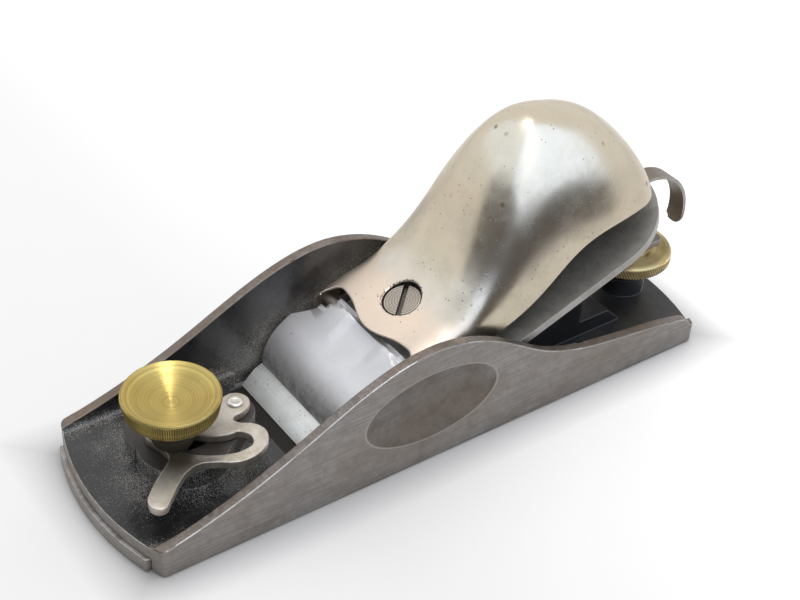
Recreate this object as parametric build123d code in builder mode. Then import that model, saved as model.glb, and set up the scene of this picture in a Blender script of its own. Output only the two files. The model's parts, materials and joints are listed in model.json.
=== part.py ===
"""Adjustable-mouth block plane: each physical piece is one solid in its own STEP file."""
import os
from math import cos, radians, sin, sqrt, tan

from build123d import *

os.makedirs("parts", exist_ok=True)

# Frame: +X to the toe, +Y to the left cheek, +Z up, sole on Z = 0.

# body casting
BODY_LEN = 161.0
BODY_W = 48.5
WALL = 2.5
FLOOR = 3.8
END_R = 64.0
CORNER_R = 1.6
ROOT_R = 1.8
CHEEK_TOE = 6.6
CHEEK_PEAK_X = 6.0
CHEEK_PEAK = 32.0
CHEEK_HEEL = 8.2
HEEL_BEND_X = -71.6
HEEL_BEND_R = 4.2
HEEL_BEND_DEG = 55.0
HEEL_RIM = 4.6
HOLLOW_X = 7.3
HOLLOW_Z = 16.4
HOLLOW_LEN = 36.6
HOLLOW_H = 19.0
HOLLOW_DEEP = 1.1
HALF_L = BODY_LEN / 2
HALF_W = BODY_W / 2
INNER = HALF_W - WALL

# blade bed and its pedestals
BED_DEG = 20.0
EDGE_X = 30.7
BED_FRONT_X = 26.0
BED_BACK_X = 12.0
MOUTH_ROOM = 1.5
PEDESTAL_FRONT = 2.5
PEDESTAL_BACK = -16.0
PEDESTAL_W = 14.0
POST_FRONT = -29.0
POST_BACK = -48.5
POST_W = 22.0
POST_SIDE = 4.0
RIB_BACK = -58.0
RIB_TOP = 8.0

# throat plate and toe deck
PLATE_T = 3.4
PLATE_SIDE = 1.15
PLATE_W = 2 * (INNER - PLATE_SIDE)
PLATE_REAR_X = 37.4
PLATE_PROUD = 1.0
PLATE_TRAVEL = 5.0
DECK_TOP = 6.4
DECK_REAR_X = 37.8
BOSS_TOP = 11.2
BOSS_R = 10.5

# throat lever
KNOB_X = 60.0
STUD_D = 6.0
STUD_FOOT = 1.2
STUD_TOP = 21.0
PIVOT_X = 42.6
PIVOT_Y = -3.0
LEVER_T = 2.0
LEVER_SWING = 50.0
LEVER_EAR_R = 4.5
LEVER_BAND = 2.1
TAIL_X = 72.2
TAIL_Y = 16.0
TAIL_R = 2.6
RIVET_D = 3.2
RIVET_HEAD_D = 4.6
RIVET_HEAD_T = 0.6

# finger knob
KNOB_D = 22.0
KNOB_TOP = 26.4
KNOB_RIM_H = 4.6
KNOB_TAPER = 0.9
KNOB_DISH = 2.7
KNOB_FOOT_D = 10.4
KNOB_FOOT_H = 2.0
KNOB_WAIST_D = 9.0

# cutter
IRON_SIDE = 1.1
IRON_W = 2 * (INNER - IRON_SIDE)
IRON_T = 2.2
IRON_LEN = 109.5
IRON_STRAIGHT = 89.5
BEVEL_DEG = 25.0
SLOT_W = 11.6
SLOT_FROM = 27.0
SLOT_TO = 63.5
GROOVE_W = 1.8
GROOVE_DEEP = 1.0
GROOVE_LEN = 16.0
GROOVE_STEP = 3.2
GROOVE_N = 4

# clamp, hood and cap screw
SCREW_S = 38.65
SCREW_D = 6.0
SCREW_DEEP = 9.0
SCREW_HEAD_D = 8.6
SCREW_HEAD_T = 2.6
SCREW_TOP_H = 13.7
SCREW_SLOT_W = 1.2
SCREW_SLOT_DEEP = 1.0
SCREW_SLOT_TURN = 40.0
CLAMP_IN = 0.25
CLAMP_W = IRON_W - 2 * CLAMP_IN
SHOULDER_S = 18.6
SHOULDER_LEN = 5.0
NECK_SAG = 0.9
LEAF_S = 30.4
LEAF_W = 26.0
PAD_D = 12.0
PIN_X = 8.4
PIN_Z = 19.8
PIN_D = 2.6
KNUCKLE_WALL = 0.62
KNUCKLE_IN = 2.2
HOOD_T = 1.6
HOOD_IN = 1.75
HOOD_HALF = IRON_W / 2 - HOOD_IN
NECK_HALF = HOOD_HALF - HOOD_T - 1.1
HOOD_NOSE_R = 2.6
EAR_WEB = 1.9
HOLE_D = 9.8
LIP_X = 10.4
LIP_CUSP = 2.5
LIP_CUSP_Y = 11.5

# depth adjuster
WHEEL_X = -72.5
WHEEL_D = 23.0
WHEEL_T = 3.4
WHEEL_TOP = 16.6
HUB_D = 12.0
HUB_NECK_D = 7.6
HUB_NECK_H = 3.2
HUB_FLANGE = 1.4
FORK_T = 1.8
FORK_W = 14.0
ADJ_SCREW_D = 5.0
ADJ_SCREW_TOP = 26.0
ADJ_SCREW_FOOT = 4.4
ADJ_BOSS_D = 12.0
ADJ_BOSS_TOP = 9.0
NIB_S = 70.0
NIB_ARM = 10.0
NIB_W = 1.2
NIB_H = 0.6
CRANK_W = 5.0
CRANK_ARM_W = 12.8
CRANK_R = 3.6
ADJ_PIN_D = 3.0

# lateral lever
LAT_S = 47.0
LAT_W = 5.2
LAT_T = 1.0
LAT_DROP = 0.15
LAT_EYE_R = 4.5
LAT_CURL_S = 107.0
LAT_CURL_R = 14.0
LAT_CURL_DEG = 128.0
LAT_DEEP = 6.0
DISC_S = 56.0
DISC_D = 10.8
DISC_T = 1.7
LAT_PIN_D = 4.0
LAT_HEAD_D = 7.0
LAT_HEAD_T = 1.0
LAT_SWING_ROOM = 0.9

# fits
RUN = 0.05
SEAT = 0.03
SLIDE = 0.3
AIR = 0.4

BED = radians(BED_DEG)
UP_BED = (-cos(BED), 0, sin(BED))
BED_NORMAL = (sin(BED), 0, cos(BED))
EDGE = (EDGE_X, 0, 0)
bed_plane = Plane(origin=EDGE, x_dir=UP_BED, z_dir=BED_NORMAL)
bed_side = Plane(origin=EDGE, x_dir=UP_BED, z_dir=(0, 1, 0))
bed_across = Plane(origin=EDGE, x_dir=(0, -1, 0), z_dir=UP_BED)
LEVER_Z = BOSS_TOP + SEAT
LEVER_TOP = LEVER_Z + LEVER_T
END_SAG = END_R - sqrt(END_R**2 - HALF_W**2)
PLATE_SAG = END_R - sqrt(END_R**2 - PLATE_W**2 / 4)


def bed_z(x, lift=0.0):
    """Height of the bed plane at x, raised by lift along its normal."""
    return (EDGE_X - x) * tan(BED) + lift / cos(BED)


def bed_point(s, lift=0.0):
    """Centre-plane x and z at s up the bed and lift off it."""
    return (EDGE_X - s * cos(BED) + lift * sin(BED), s * sin(BED) + lift * cos(BED))


ADJ_X, ADJ_Z = bed_point(NIB_S, -NIB_ARM)
FORK_Z = WHEEL_TOP + HUB_FLANGE + HUB_NECK_H / 2

# body casting
with BuildPart() as body_casting:
    with BuildSketch():
        with BuildLine():
            Line((HALF_L - END_SAG, HALF_W), (END_SAG - HALF_L, HALF_W))
            ThreePointArc((END_SAG - HALF_L, HALF_W), (-HALF_L, 0), (END_SAG - HALF_L, -HALF_W))
            Line((END_SAG - HALF_L, -HALF_W), (HALF_L - END_SAG, -HALF_W))
            ThreePointArc((HALF_L - END_SAG, -HALF_W), (HALF_L, 0), (HALF_L - END_SAG, HALF_W))
        make_face()
        fillet(vertices(), CORNER_R)
    extrude(amount=CHEEK_PEAK + 2)
    with BuildSketch(Plane.XZ):
        with BuildLine():
            crest = Spline(
                (HALF_L, CHEEK_TOE),
                (62.5, 11.0),
                (43.8, 18.7),
                (24.6, 28.0),
                (CHEEK_PEAK_X, CHEEK_PEAK),
                (-12.0, 26.4),
                (-27.0, 17.3),
                (-43.0, 12.8),
                (-63.0, 10.0),
                (HEEL_BEND_X, CHEEK_HEEL),
            )
            bend = JernArc(crest @ 1, crest % 1, HEEL_BEND_R, HEEL_BEND_DEG)
            Polyline(bend @ 1, (-HALF_L, HEEL_RIM), (-HALF_L, 0), (HALF_L, 0), crest @ 0)
        make_face()
    extrude(amount=HALF_W + 1, both=True, mode=Mode.INTERSECT)
    # trough between the cheeks, with round roots, over the toe deck and over the floor
    with BuildSketch(Plane.YZ.offset(DECK_REAR_X - 1)):
        with Locations((0, DECK_TOP)):
            Rectangle(2 * INNER, CHEEK_PEAK, align=(Align.CENTER, Align.MIN))
        fillet(vertices().group_by(Axis.Y)[0], ROOT_R)
    extrude(amount=HALF_L, mode=Mode.SUBTRACT)
    with BuildSketch(Plane.YZ.offset(DECK_REAR_X)):
        with Locations((0, FLOOR)):
            Rectangle(2 * INNER, CHEEK_PEAK, align=(Align.CENTER, Align.MIN))
        fillet(vertices().group_by(Axis.Y)[0], ROOT_R)
    extrude(amount=-BODY_LEN, mode=Mode.SUBTRACT)
    # knob boss and lever seat on the toe deck
    with BuildSketch(Plane.XY.offset(DECK_TOP - 1)):
        with Locations((KNOB_X - PLATE_TRAVEL / 2, 0)):
            Circle(BOSS_R)
        with Locations((PIVOT_X, PIVOT_Y)):
            Circle(LEVER_EAR_R)
        make_hull()
    extrude(amount=BOSS_TOP - DECK_TOP + 1)
    # blade bed, screw pedestal and rear post
    with BuildSketch(Plane.XZ):
        with BuildLine():
            Polyline(
                (BED_FRONT_X, 0),
                (BED_FRONT_X, bed_z(BED_FRONT_X)),
                (BED_BACK_X, bed_z(BED_BACK_X)),
                (BED_BACK_X - 4, 0),
                close=True,
            )
        make_face()
    extrude(amount=INNER + WALL / 2, both=True)
    with BuildSketch(Plane.XZ):
        with BuildLine():
            Polyline(
                (PEDESTAL_FRONT, 0),
                (PEDESTAL_FRONT, bed_z(PEDESTAL_FRONT)),
                (PEDESTAL_BACK, bed_z(PEDESTAL_BACK)),
                (PEDESTAL_BACK, 0),
                close=True,
            )
        make_face()
    extrude(amount=PEDESTAL_W / 2, both=True)
    with BuildSketch(Plane.XZ):
        with BuildLine():
            Polyline(
                (POST_FRONT, 0),
                (POST_FRONT, bed_z(POST_FRONT)),
                (POST_BACK, bed_z(POST_BACK)),
                (POST_BACK, RIB_TOP),
                (RIB_BACK, RIB_TOP),
                (RIB_BACK - RIB_TOP, 0),
                (POST_FRONT, 0),
            )
        make_face()
    extrude(amount=POST_W / 2, both=True)
    with BuildSketch(Plane.XZ):
        with BuildLine():
            Polyline(
                (BED_FRONT_X, bed_z(BED_FRONT_X)),
                (BED_BACK_X, bed_z(BED_BACK_X)),
                (BED_BACK_X, CHEEK_PEAK),
                (BED_FRONT_X, CHEEK_PEAK),
                close=True,
            )
        make_face()
    extrude(amount=INNER, both=True, mode=Mode.SUBTRACT)
    with Locations((WHEEL_X, 0, 0)):
        Cylinder(ADJ_BOSS_D / 2, ADJ_BOSS_TOP, align=(Align.CENTER, Align.CENTER, Align.MIN))
    # mouth and throat plate channel
    with BuildSketch():
        with Locations((BED_FRONT_X, 0)):
            Rectangle(DECK_REAR_X - BED_FRONT_X, PLATE_W + 2 * SLIDE, align=(Align.MIN, Align.CENTER))
            Rectangle(EDGE_X + MOUTH_ROOM - BED_FRONT_X, 2 * INNER, align=(Align.MIN, Align.CENTER))
    extrude(amount=CHEEK_PEAK, mode=Mode.SUBTRACT)
    with BuildSketch():
        with Locations((BED_FRONT_X, 0)):
            Rectangle(BODY_LEN, PLATE_W + 2 * SLIDE, align=(Align.MIN, Align.CENTER))
    extrude(amount=PLATE_T + SEAT, mode=Mode.SUBTRACT)
    # stud slot and rivet hole in the boss
    with BuildSketch(Plane.XY.offset(BOSS_TOP)):
        with Locations((KNOB_X - PLATE_TRAVEL / 2, 0)):
            SlotCenterToCenter(PLATE_TRAVEL, STUD_D + 2 * SLIDE)
        with Locations((PIVOT_X, PIVOT_Y)):
            Circle(RIVET_D / 2 + RUN)
    extrude(amount=PLATE_T - BOSS_TOP, mode=Mode.SUBTRACT)
    # screw hole and lateral pivot hole, square to the bed
    with BuildSketch(bed_plane):
        with Locations((SCREW_S, 0)):
            Circle(SCREW_D / 2 + RUN)
    extrude(amount=-SCREW_DEEP, mode=Mode.SUBTRACT)
    with BuildSketch(bed_plane):
        with Locations((LAT_S, 0)):
            Circle(LAT_PIN_D / 2 + RUN)
    extrude(amount=-LAT_DEEP, mode=Mode.SUBTRACT)
    # recess for the lateral lever under the cutter
    with BuildSketch(bed_plane):
        with Locations((LAT_S, 0)):
            Circle(LAT_EYE_R + AIR)
            Rectangle(60, LAT_W + 2 * LAT_SWING_ROOM, align=(Align.MIN, Align.CENTER))
    extrude(amount=-LAT_T - LAT_DROP - SEAT, mode=Mode.SUBTRACT)
    # crank slot through the rear post, and its cross pin
    with BuildSketch(Plane.XY.offset(RIB_TOP)):
        with Locations(((POST_FRONT + POST_BACK) / 2, 0)):
            Rectangle(POST_FRONT - POST_BACK - 2 * POST_SIDE, POST_W - 2 * POST_SIDE)
        with Locations(((POST_FRONT + POST_BACK) / 2, 0)):
            Rectangle(BODY_LEN / 4, CRANK_W + 2 * AIR, align=(Align.MAX, Align.CENTER))
    extrude(amount=CHEEK_PEAK, mode=Mode.SUBTRACT)
    with BuildSketch(Plane.XZ):
        with Locations((ADJ_X, ADJ_Z)):
            Circle(ADJ_PIN_D / 2 + RUN)
    extrude(amount=POST_W, both=True, mode=Mode.SUBTRACT)
    with Locations((WHEEL_X, 0, ADJ_BOSS_TOP)):
        Hole(ADJ_SCREW_D / 2 + RUN, ADJ_BOSS_TOP - 1)
    # finger hollow in each cheek: a barrel surface that meets the cheek in an oval
    long_r = (HOLLOW_LEN**2 / 4 + HOLLOW_DEEP**2) / (2 * HOLLOW_DEEP)
    short_r = (HOLLOW_H**2 / 4 + HOLLOW_DEEP**2) / (2 * HOLLOW_DEEP)
    barrel = Plane(origin=(HOLLOW_X, HALF_W - HOLLOW_DEEP + short_r, HOLLOW_Z))
    with BuildSketch(barrel):
        with BuildLine():
            belly = ThreePointArc(
                (-HOLLOW_LEN / 2, HOLLOW_DEEP - short_r),
                (0, -short_r),
                (HOLLOW_LEN / 2, HOLLOW_DEEP - short_r),
            )
            Polyline(belly @ 1, (HOLLOW_LEN / 2, 0), (-HOLLOW_LEN / 2, 0), belly @ 0)
        make_face()
    hollow = revolve(axis=Axis(barrel.origin, (1, 0, 0)), mode=Mode.PRIVATE)
    add(hollow, mode=Mode.SUBTRACT)
    add(mirror(hollow, about=Plane.XZ, mode=Mode.PRIVATE), mode=Mode.SUBTRACT)
body_casting.part.label = "body_casting"
export_step(body_casting.part, "parts/body_casting.step")

# throat plate: the sliding front of the sole
with BuildPart() as throat_plate:
    front = HALF_L + PLATE_PROUD
    with BuildSketch():
        with BuildLine():
            nose = ThreePointArc(
                (front - PLATE_SAG, -PLATE_W / 2),
                (front, 0),
                (front - PLATE_SAG, PLATE_W / 2),
            )
            Polyline(nose @ 1, (PLATE_REAR_X, PLATE_W / 2), (PLATE_REAR_X, -PLATE_W / 2), nose @ 0)
        make_face()
    extrude(amount=PLATE_T)
    with Locations((KNOB_X, 0, PLATE_T)):
        Hole(STUD_D / 2 + RUN, PLATE_T - STUD_FOOT + SEAT)
throat_plate.part.label = "throat_plate"
export_step(throat_plate.part, "parts/throat_plate.step")

with BuildPart() as knob_stud:
    with Locations((KNOB_X, 0, STUD_FOOT)):
        Cylinder(STUD_D / 2, STUD_TOP - STUD_FOOT, align=(Align.CENTER, Align.CENTER, Align.MIN))
    chamfer(knob_stud.edges().group_by(Axis.Z)[-1], STUD_D / 10)
knob_stud.part.label = "knob_stud"
export_step(knob_stud.part, "parts/knob_stud.step")

# finger knob: foot, waist, tapered rim and dished top
with BuildPart() as finger_knob:
    foot_z = LEVER_TOP + SEAT
    rim_z = KNOB_TOP - KNOB_RIM_H
    bore = STUD_D / 2 + RUN
    lip_r = KNOB_D / 2 - KNOB_TAPER / 2
    dish_r = (lip_r**2 + KNOB_DISH**2) / (2 * KNOB_DISH)
    with BuildSketch(Plane.XZ.shift_origin((KNOB_X, 0, 0))):
        with BuildLine():
            Polyline(
                (0, STUD_TOP + AIR),
                (bore, STUD_TOP + AIR),
                (bore, foot_z),
                (KNOB_FOOT_D / 2, foot_z),
                (KNOB_FOOT_D / 2, foot_z + KNOB_FOOT_H),
            )
            waist = ThreePointArc(
                (KNOB_FOOT_D / 2, foot_z + KNOB_FOOT_H),
                (KNOB_WAIST_D / 2, (foot_z + KNOB_FOOT_H + rim_z) / 2),
                (KNOB_D / 2 - 2 * KNOB_TAPER, rim_z),
            )
            Polyline(
                waist @ 1,
                (KNOB_D / 2 - KNOB_TAPER, rim_z),
                (KNOB_D / 2, KNOB_TOP - KNOB_TAPER),
                (lip_r, KNOB_TOP),
            )
            dish = ThreePointArc(
                (lip_r, KNOB_TOP),
                (lip_r / 2, KNOB_TOP - KNOB_DISH + dish_r - sqrt(dish_r**2 - lip_r**2 / 4)),
                (0, KNOB_TOP - KNOB_DISH),
            )
            Line(dish @ 1, (0, STUD_TOP + AIR))
        make_face()
    revolve(axis=Axis((KNOB_X, 0, 0), (0, 0, 1)))
finger_knob.part.label = "finger_knob"
export_step(finger_knob.part, "parts/finger_knob.step")


def cam(turn):
    """Stud centre seen from the throat lever when the lever has turned by this many degrees."""
    run = KNOB_X - PIVOT_X - PLATE_TRAVEL * turn / LEVER_SWING
    arm = Vector(run, -PIVOT_Y).rotate(Axis.Z, turn)
    return (PIVOT_X + arm.X, PIVOT_Y + arm.Y)


# throat lever: cam slot band, pivot ear and tail
with BuildPart() as throat_lever:
    slot_w = STUD_D + 2 * SLIDE
    track = ThreePointArc(cam(0), cam(LEVER_SWING / 2), cam(LEVER_SWING), mode=Mode.PRIVATE).edge()
    with BuildSketch(Plane.XY.offset(LEVER_Z)):
        with Locations((PIVOT_X, PIVOT_Y)):
            Circle(LEVER_EAR_R)
        with Locations(((PIVOT_X + KNOB_X) / 2, -0.5)):
            Circle(LEVER_EAR_R)
        make_hull()
    extrude(amount=LEVER_T)
    with BuildSketch(Plane.XY.offset(LEVER_Z)):
        with Locations((TAIL_X, TAIL_Y)):
            Circle(TAIL_R)
        with Locations((KNOB_X + 2.2, 7.6)):
            Circle(TAIL_R + LEVER_BAND / 3)
        make_hull()
    extrude(amount=LEVER_T)
    with BuildSketch(Plane.XY.offset(LEVER_Z)):
        SlotArc(track, slot_w + 2 * LEVER_BAND)
    extrude(amount=LEVER_T)
    with BuildSketch(Plane.XY.offset(LEVER_Z)):
        SlotArc(track, slot_w)
        with Locations((PIVOT_X, PIVOT_Y)):
            Circle(RIVET_D / 2 + RUN)
    extrude(amount=LEVER_T, mode=Mode.SUBTRACT)
throat_lever.part.label = "throat_lever"
export_step(throat_lever.part, "parts/throat_lever.step")

with BuildPart() as throat_lever_rivet:
    with Locations((PIVOT_X, PIVOT_Y, PLATE_T + 2 * AIR)):
        Cylinder(RIVET_D / 2, LEVER_TOP - PLATE_T - AIR, align=(Align.CENTER, Align.CENTER, Align.MIN))
    with Locations((PIVOT_X, PIVOT_Y, LEVER_TOP + SEAT)):
        Cylinder(RIVET_HEAD_D / 2, RIVET_HEAD_T, align=(Align.CENTER, Align.CENTER, Align.MIN))
throat_lever_rivet.part.label = "throat_lever_rivet"
export_step(throat_lever_rivet.part, "parts/throat_lever_rivet.step")

# cutter: bevel up, slot for the cap screw, cross grooves under its rear
with BuildPart() as cutter:
    with BuildSketch(bed_plane):
        with BuildLine():
            tail_end = ThreePointArc(
                (IRON_STRAIGHT, IRON_W / 2),
                (IRON_LEN, 0),
                (IRON_STRAIGHT, -IRON_W / 2),
            )
            Polyline(tail_end @ 1, (0, -IRON_W / 2), (0, IRON_W / 2), tail_end @ 0)
        make_face()
        with Locations(((SLOT_FROM + SLOT_TO) / 2, 0)):
            SlotOverall(SLOT_TO - SLOT_FROM, SLOT_W, mode=Mode.SUBTRACT)
    extrude(amount=IRON_T)
    with BuildSketch(bed_side):
        with BuildLine():
            Polyline((0, 0), (IRON_T / tan(radians(BEVEL_DEG)), IRON_T), (0, IRON_T), close=True)
        make_face()
    extrude(amount=IRON_W, both=True, mode=Mode.SUBTRACT)
    with BuildSketch(bed_plane):
        with Locations((NIB_S + GROOVE_STEP / 2, 0)):
            with GridLocations(GROOVE_STEP, 0, GROOVE_N, 1):
                Rectangle(GROOVE_W, GROOVE_LEN)
    extrude(amount=GROOVE_DEEP, mode=Mode.SUBTRACT)
cutter.part.label = "cutter"
export_step(cutter.part, "parts/cutter.step")

# clamp: rounded shoe that presses behind the bevel, knuckle for the hood, leaf under the screw
with BuildPart() as clamp:
    seat_h = IRON_T + SEAT
    pin_s = (EDGE_X - PIN_X) * cos(radians(BED_DEG)) + PIN_Z * sin(radians(BED_DEG))
    pin_h = (PIN_X - EDGE_X) * sin(radians(BED_DEG)) + PIN_Z * cos(radians(BED_DEG))
    knuckle_h = pin_h + PIN_D / 2 + RUN + KNUCKLE_WALL
    with BuildSketch(bed_side):
        with BuildLine():
            over = Spline(
                (6.9, seat_h),
                (8.6, 5.9),
                (11.2, 8.4),
                (14.6, 10.1),
                (18.6, 10.95),
                (22.4, 11.55),
                (25.4, 12.2),
                (pin_s, knuckle_h),
            )
            fall = Spline(
                (pin_s, knuckle_h),
                (LEAF_S, 10.6),
                (33.8, 7.6),
                (44.0, 6.0),
                (58.0, seat_h),
            )
            under = Spline(
                (55.0, seat_h),
                (44.0, 3.8),
                (30.0, 5.2),
                (24.0, 6.6),
                (18.0, 7.1),
                (13.0, 5.2),
                (9.8, seat_h),
            )
            Line(fall @ 1, under @ 0)
            Line(under @ 1, over @ 0)
        make_face()
    extrude(amount=CLAMP_W / 2, both=True)
    with BuildSketch(bed_across):
        with BuildLine():
            brow = ThreePointArc(
                (-NECK_HALF, knuckle_h - NECK_SAG),
                (0, knuckle_h),
                (NECK_HALF, knuckle_h - NECK_SAG),
            )
            Polyline(
                brow @ 1,
                (CLAMP_W / 2, knuckle_h - 2 * NECK_SAG),
                (CLAMP_W / 2, 0),
                (-CLAMP_W / 2, 0),
                (-CLAMP_W / 2, knuckle_h - 2 * NECK_SAG),
                brow @ 0,
            )
        make_face()
    extrude(amount=IRON_LEN, mode=Mode.INTERSECT)
    with BuildSketch(bed_plane):
        with BuildLine():
            Polyline(
                (SHOULDER_S, CLAMP_W / 2),
                (SHOULDER_S + SHOULDER_LEN, NECK_HALF),
                (pin_s - PIN_D, NECK_HALF),
                (pin_s - PIN_D, NECK_HALF - KNUCKLE_IN),
                (LEAF_S, NECK_HALF - KNUCKLE_IN),
                (LEAF_S, LEAF_W / 2),
                (IRON_LEN, LEAF_W / 2),
                (IRON_LEN, CLAMP_W),
                (SHOULDER_S, CLAMP_W),
                close=True,
            )
        make_face()
        mirror(about=Plane.XZ)
    extrude(amount=4 * SCREW_HEAD_D, mode=Mode.SUBTRACT)
    with BuildSketch(bed_plane.offset(SCREW_TOP_H - SCREW_HEAD_T - SEAT)):
        with Locations((SCREW_S, 0)):
            Circle(PAD_D / 2)
    extrude(amount=-PAD_D / 2)
    with BuildSketch(bed_plane):
        with Locations((SCREW_S, 0)):
            Circle(SCREW_D / 2 + AIR)
    extrude(amount=SCREW_TOP_H, mode=Mode.SUBTRACT)
    with BuildSketch(Plane.XZ):
        with Locations((PIN_X, PIN_Z)):
            Circle(PIN_D / 2 + RUN)
    extrude(amount=CLAMP_W, both=True, mode=Mode.SUBTRACT)
clamp.part.label = "clamp"
export_step(clamp.part, "parts/clamp.step")

with BuildPart() as knuckle_pin:
    with BuildSketch(Plane.XZ):
        with Locations((PIN_X, PIN_Z)):
            Circle(PIN_D / 2)
    extrude(amount=HOOD_HALF - SLIDE, both=True)
knuckle_pin.part.label = "knuckle_pin"
export_step(knuckle_pin.part, "parts/knuckle_pin.step")

# hood: lofted shell; each station gives x, crown height, half width and squareness of its arch
STATIONS = (
    (13.0, 22.2, 1.0, 8.5),
    (4.0, 26.0, 1.0, 8.5),
    (-4.0, 29.8, 1.0, 6.0),
    (-12.0, 40.6, 1.0, 3.2),
    (-20.0, 56.3, 0.99, 2.45),
    (-29.0, 67.4, 0.99, 2.15),
    (-40.0, 68.0, 0.98, 2.08),
    (-50.0, 64.1, 0.95, 2.05),
    (-58.0, 57.8, 0.88, 2.05),
    (-64.0, 50.6, 0.74, 2.05),
    (-67.5, 45.2, 0.5, 2.05),
)


def arch(x, crown, half, power, foot):
    """Arched closed section across the plane at x."""
    with BuildSketch(Plane(origin=(x, 0, 0), x_dir=(0, 1, 0), z_dir=(1, 0, 0))) as section:
        with BuildLine():
            rise = crown - foot
            points = []
            for step in range(-6, 7):
                a = radians(90 * step / 6)
                wide = abs(sin(a)) ** (2 / power) * half
                points.append((wide if step > 0 else -wide, foot + rise * max(cos(a), 0) ** (2 / power)))
            bow = Spline(*points)
            Line(bow @ 1, bow @ 0)
        make_face()
    return section.sketch


outer_form = []
inner_form = []
for i, (x, crown, share, power) in enumerate(STATIONS):
    before = STATIONS[max(i - 1, 0)]
    after = STATIONS[min(i + 1, len(STATIONS) - 1)]
    slope = (after[1] - before[1]) / (after[0] - before[0])
    inset = HOOD_T * sqrt(1 + min(slope * slope, 1.6))
    last = HOOD_T if i == len(STATIONS) - 1 else 0
    outer_form.append(arch(x, crown, share * HOOD_HALF, power, bed_z(x, IRON_T) + 1))
    inner_form.append(arch(x + last, crown - inset, share * HOOD_HALF - HOOD_T, power, bed_z(x, IRON_T)))

with BuildPart() as cap_hood:
    loft(sections=outer_form)
    loft(sections=inner_form, mode=Mode.SUBTRACT)
    # side view: rounded nose over the pin, then the S-shaped lower edge
    with BuildSketch(Plane.XZ):
        with BuildLine():
            nose = ThreePointArc(
                (PIN_X + HOOD_NOSE_R, PIN_Z),
                (PIN_X + 0.7 * HOOD_NOSE_R, PIN_Z - 0.714 * HOOD_NOSE_R),
                (PIN_X, PIN_Z - HOOD_NOSE_R),
            )
            hem = Spline(
                (PIN_X, PIN_Z - HOOD_NOSE_R),
                (-6.0, 20.6),
                (-17.0, 24.6),
                (-26.0, 29.5),
                (-36.5, 37.5),
                (-48.0, 41.2),
                (-60.0, 42.0),
                (-72.0, 44.5),
            )
            nose_x = PIN_X + 2 * HOOD_NOSE_R
            Polyline(hem @ 1, (-72.0, 80.0), (nose_x, 80.0), (nose_x, PIN_Z + HOOD_NOSE_R), nose @ 0)
        make_face()
    extrude(amount=HALF_W, both=True, mode=Mode.INTERSECT)
    # ogee lip in plan
    with BuildSketch(Plane.XY.offset(PIN_Z + 1)):
        with BuildLine():
            ogee = Spline(
                (LIP_X + LIP_CUSP, -HOOD_HALF - 1),
                (LIP_X - 0.8 * LIP_CUSP, -HOOD_HALF + 2.6),
                (LIP_X - LIP_CUSP, -LIP_CUSP_Y),
                (LIP_X, 0),
                (LIP_X - LIP_CUSP, LIP_CUSP_Y),
                (LIP_X - 0.8 * LIP_CUSP, HOOD_HALF - 2.6),
                (LIP_X + LIP_CUSP, HOOD_HALF + 1),
            )
            Polyline(ogee @ 1, (2 * LIP_X, HOOD_HALF + 1), (2 * LIP_X, -HOOD_HALF - 1), ogee @ 0)
        make_face()
    extrude(amount=CHEEK_PEAK, mode=Mode.SUBTRACT)
    # open front between the two ears, so that the lip swings clear of the clamp's neck
    with BuildSketch(Plane.XY.offset(PIN_Z - HOOD_NOSE_R)):
        with Locations((PIN_X + EAR_WEB, 0)):
            Rectangle(2 * HOOD_NOSE_R, 2 * (HOOD_HALF - HOOD_T), align=(Align.MIN, Align.CENTER))
    extrude(amount=HOOD_NOSE_R + 1, mode=Mode.SUBTRACT)
    with BuildSketch(bed_plane.offset(SCREW_TOP_H - 1)):
        with Locations((SCREW_S, 0)):
            Circle(HOLE_D / 2)
    extrude(amount=SCREW_HEAD_D, mode=Mode.SUBTRACT)
    with BuildSketch(Plane.XZ):
        with Locations((PIN_X, PIN_Z)):
            Circle(PIN_D / 2 + RUN)
    extrude(amount=HALF_W, both=True, mode=Mode.SUBTRACT)
cap_hood.part.label = "cap_hood"
export_step(cap_hood.part, "parts/cap_hood.step")

with BuildPart() as cap_screw:
    with BuildSketch(bed_plane.offset(SEAT - SCREW_DEEP)):
        with Locations((SCREW_S, 0)):
            Circle(SCREW_D / 2)
    extrude(amount=SCREW_DEEP + SCREW_TOP_H - SCREW_HEAD_T)
    with BuildSketch(bed_plane.offset(SCREW_TOP_H - SCREW_HEAD_T)):
        with Locations((SCREW_S, 0)):
            Circle(SCREW_HEAD_D / 2)
    extrude(amount=SCREW_HEAD_T)
    with BuildSketch(bed_plane.offset(SCREW_TOP_H)):
        with Locations((SCREW_S, 0)):
            Rectangle(2 * SCREW_HEAD_D, SCREW_SLOT_W, rotation=SCREW_SLOT_TURN)
    extrude(amount=-SCREW_SLOT_DEEP, mode=Mode.SUBTRACT)
cap_screw.part.label = "cap_screw"
export_step(cap_screw.part, "parts/cap_screw.step")

# depth adjuster: stud, wheel with a grooved hub, bell crank and its pin
with BuildPart() as adjusting_screw:
    with Locations((WHEEL_X, 0, ADJ_SCREW_FOOT)):
        Cylinder(
            ADJ_SCREW_D / 2,
            ADJ_SCREW_TOP - ADJ_SCREW_FOOT,
            align=(Align.CENTER, Align.CENTER, Align.MIN),
        )
    chamfer(adjusting_screw.edges().filter_by(GeomType.CIRCLE), ADJ_SCREW_D / 10)
adjusting_screw.part.label = "adjusting_screw"
export_step(adjusting_screw.part, "parts/adjusting_screw.step")

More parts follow.
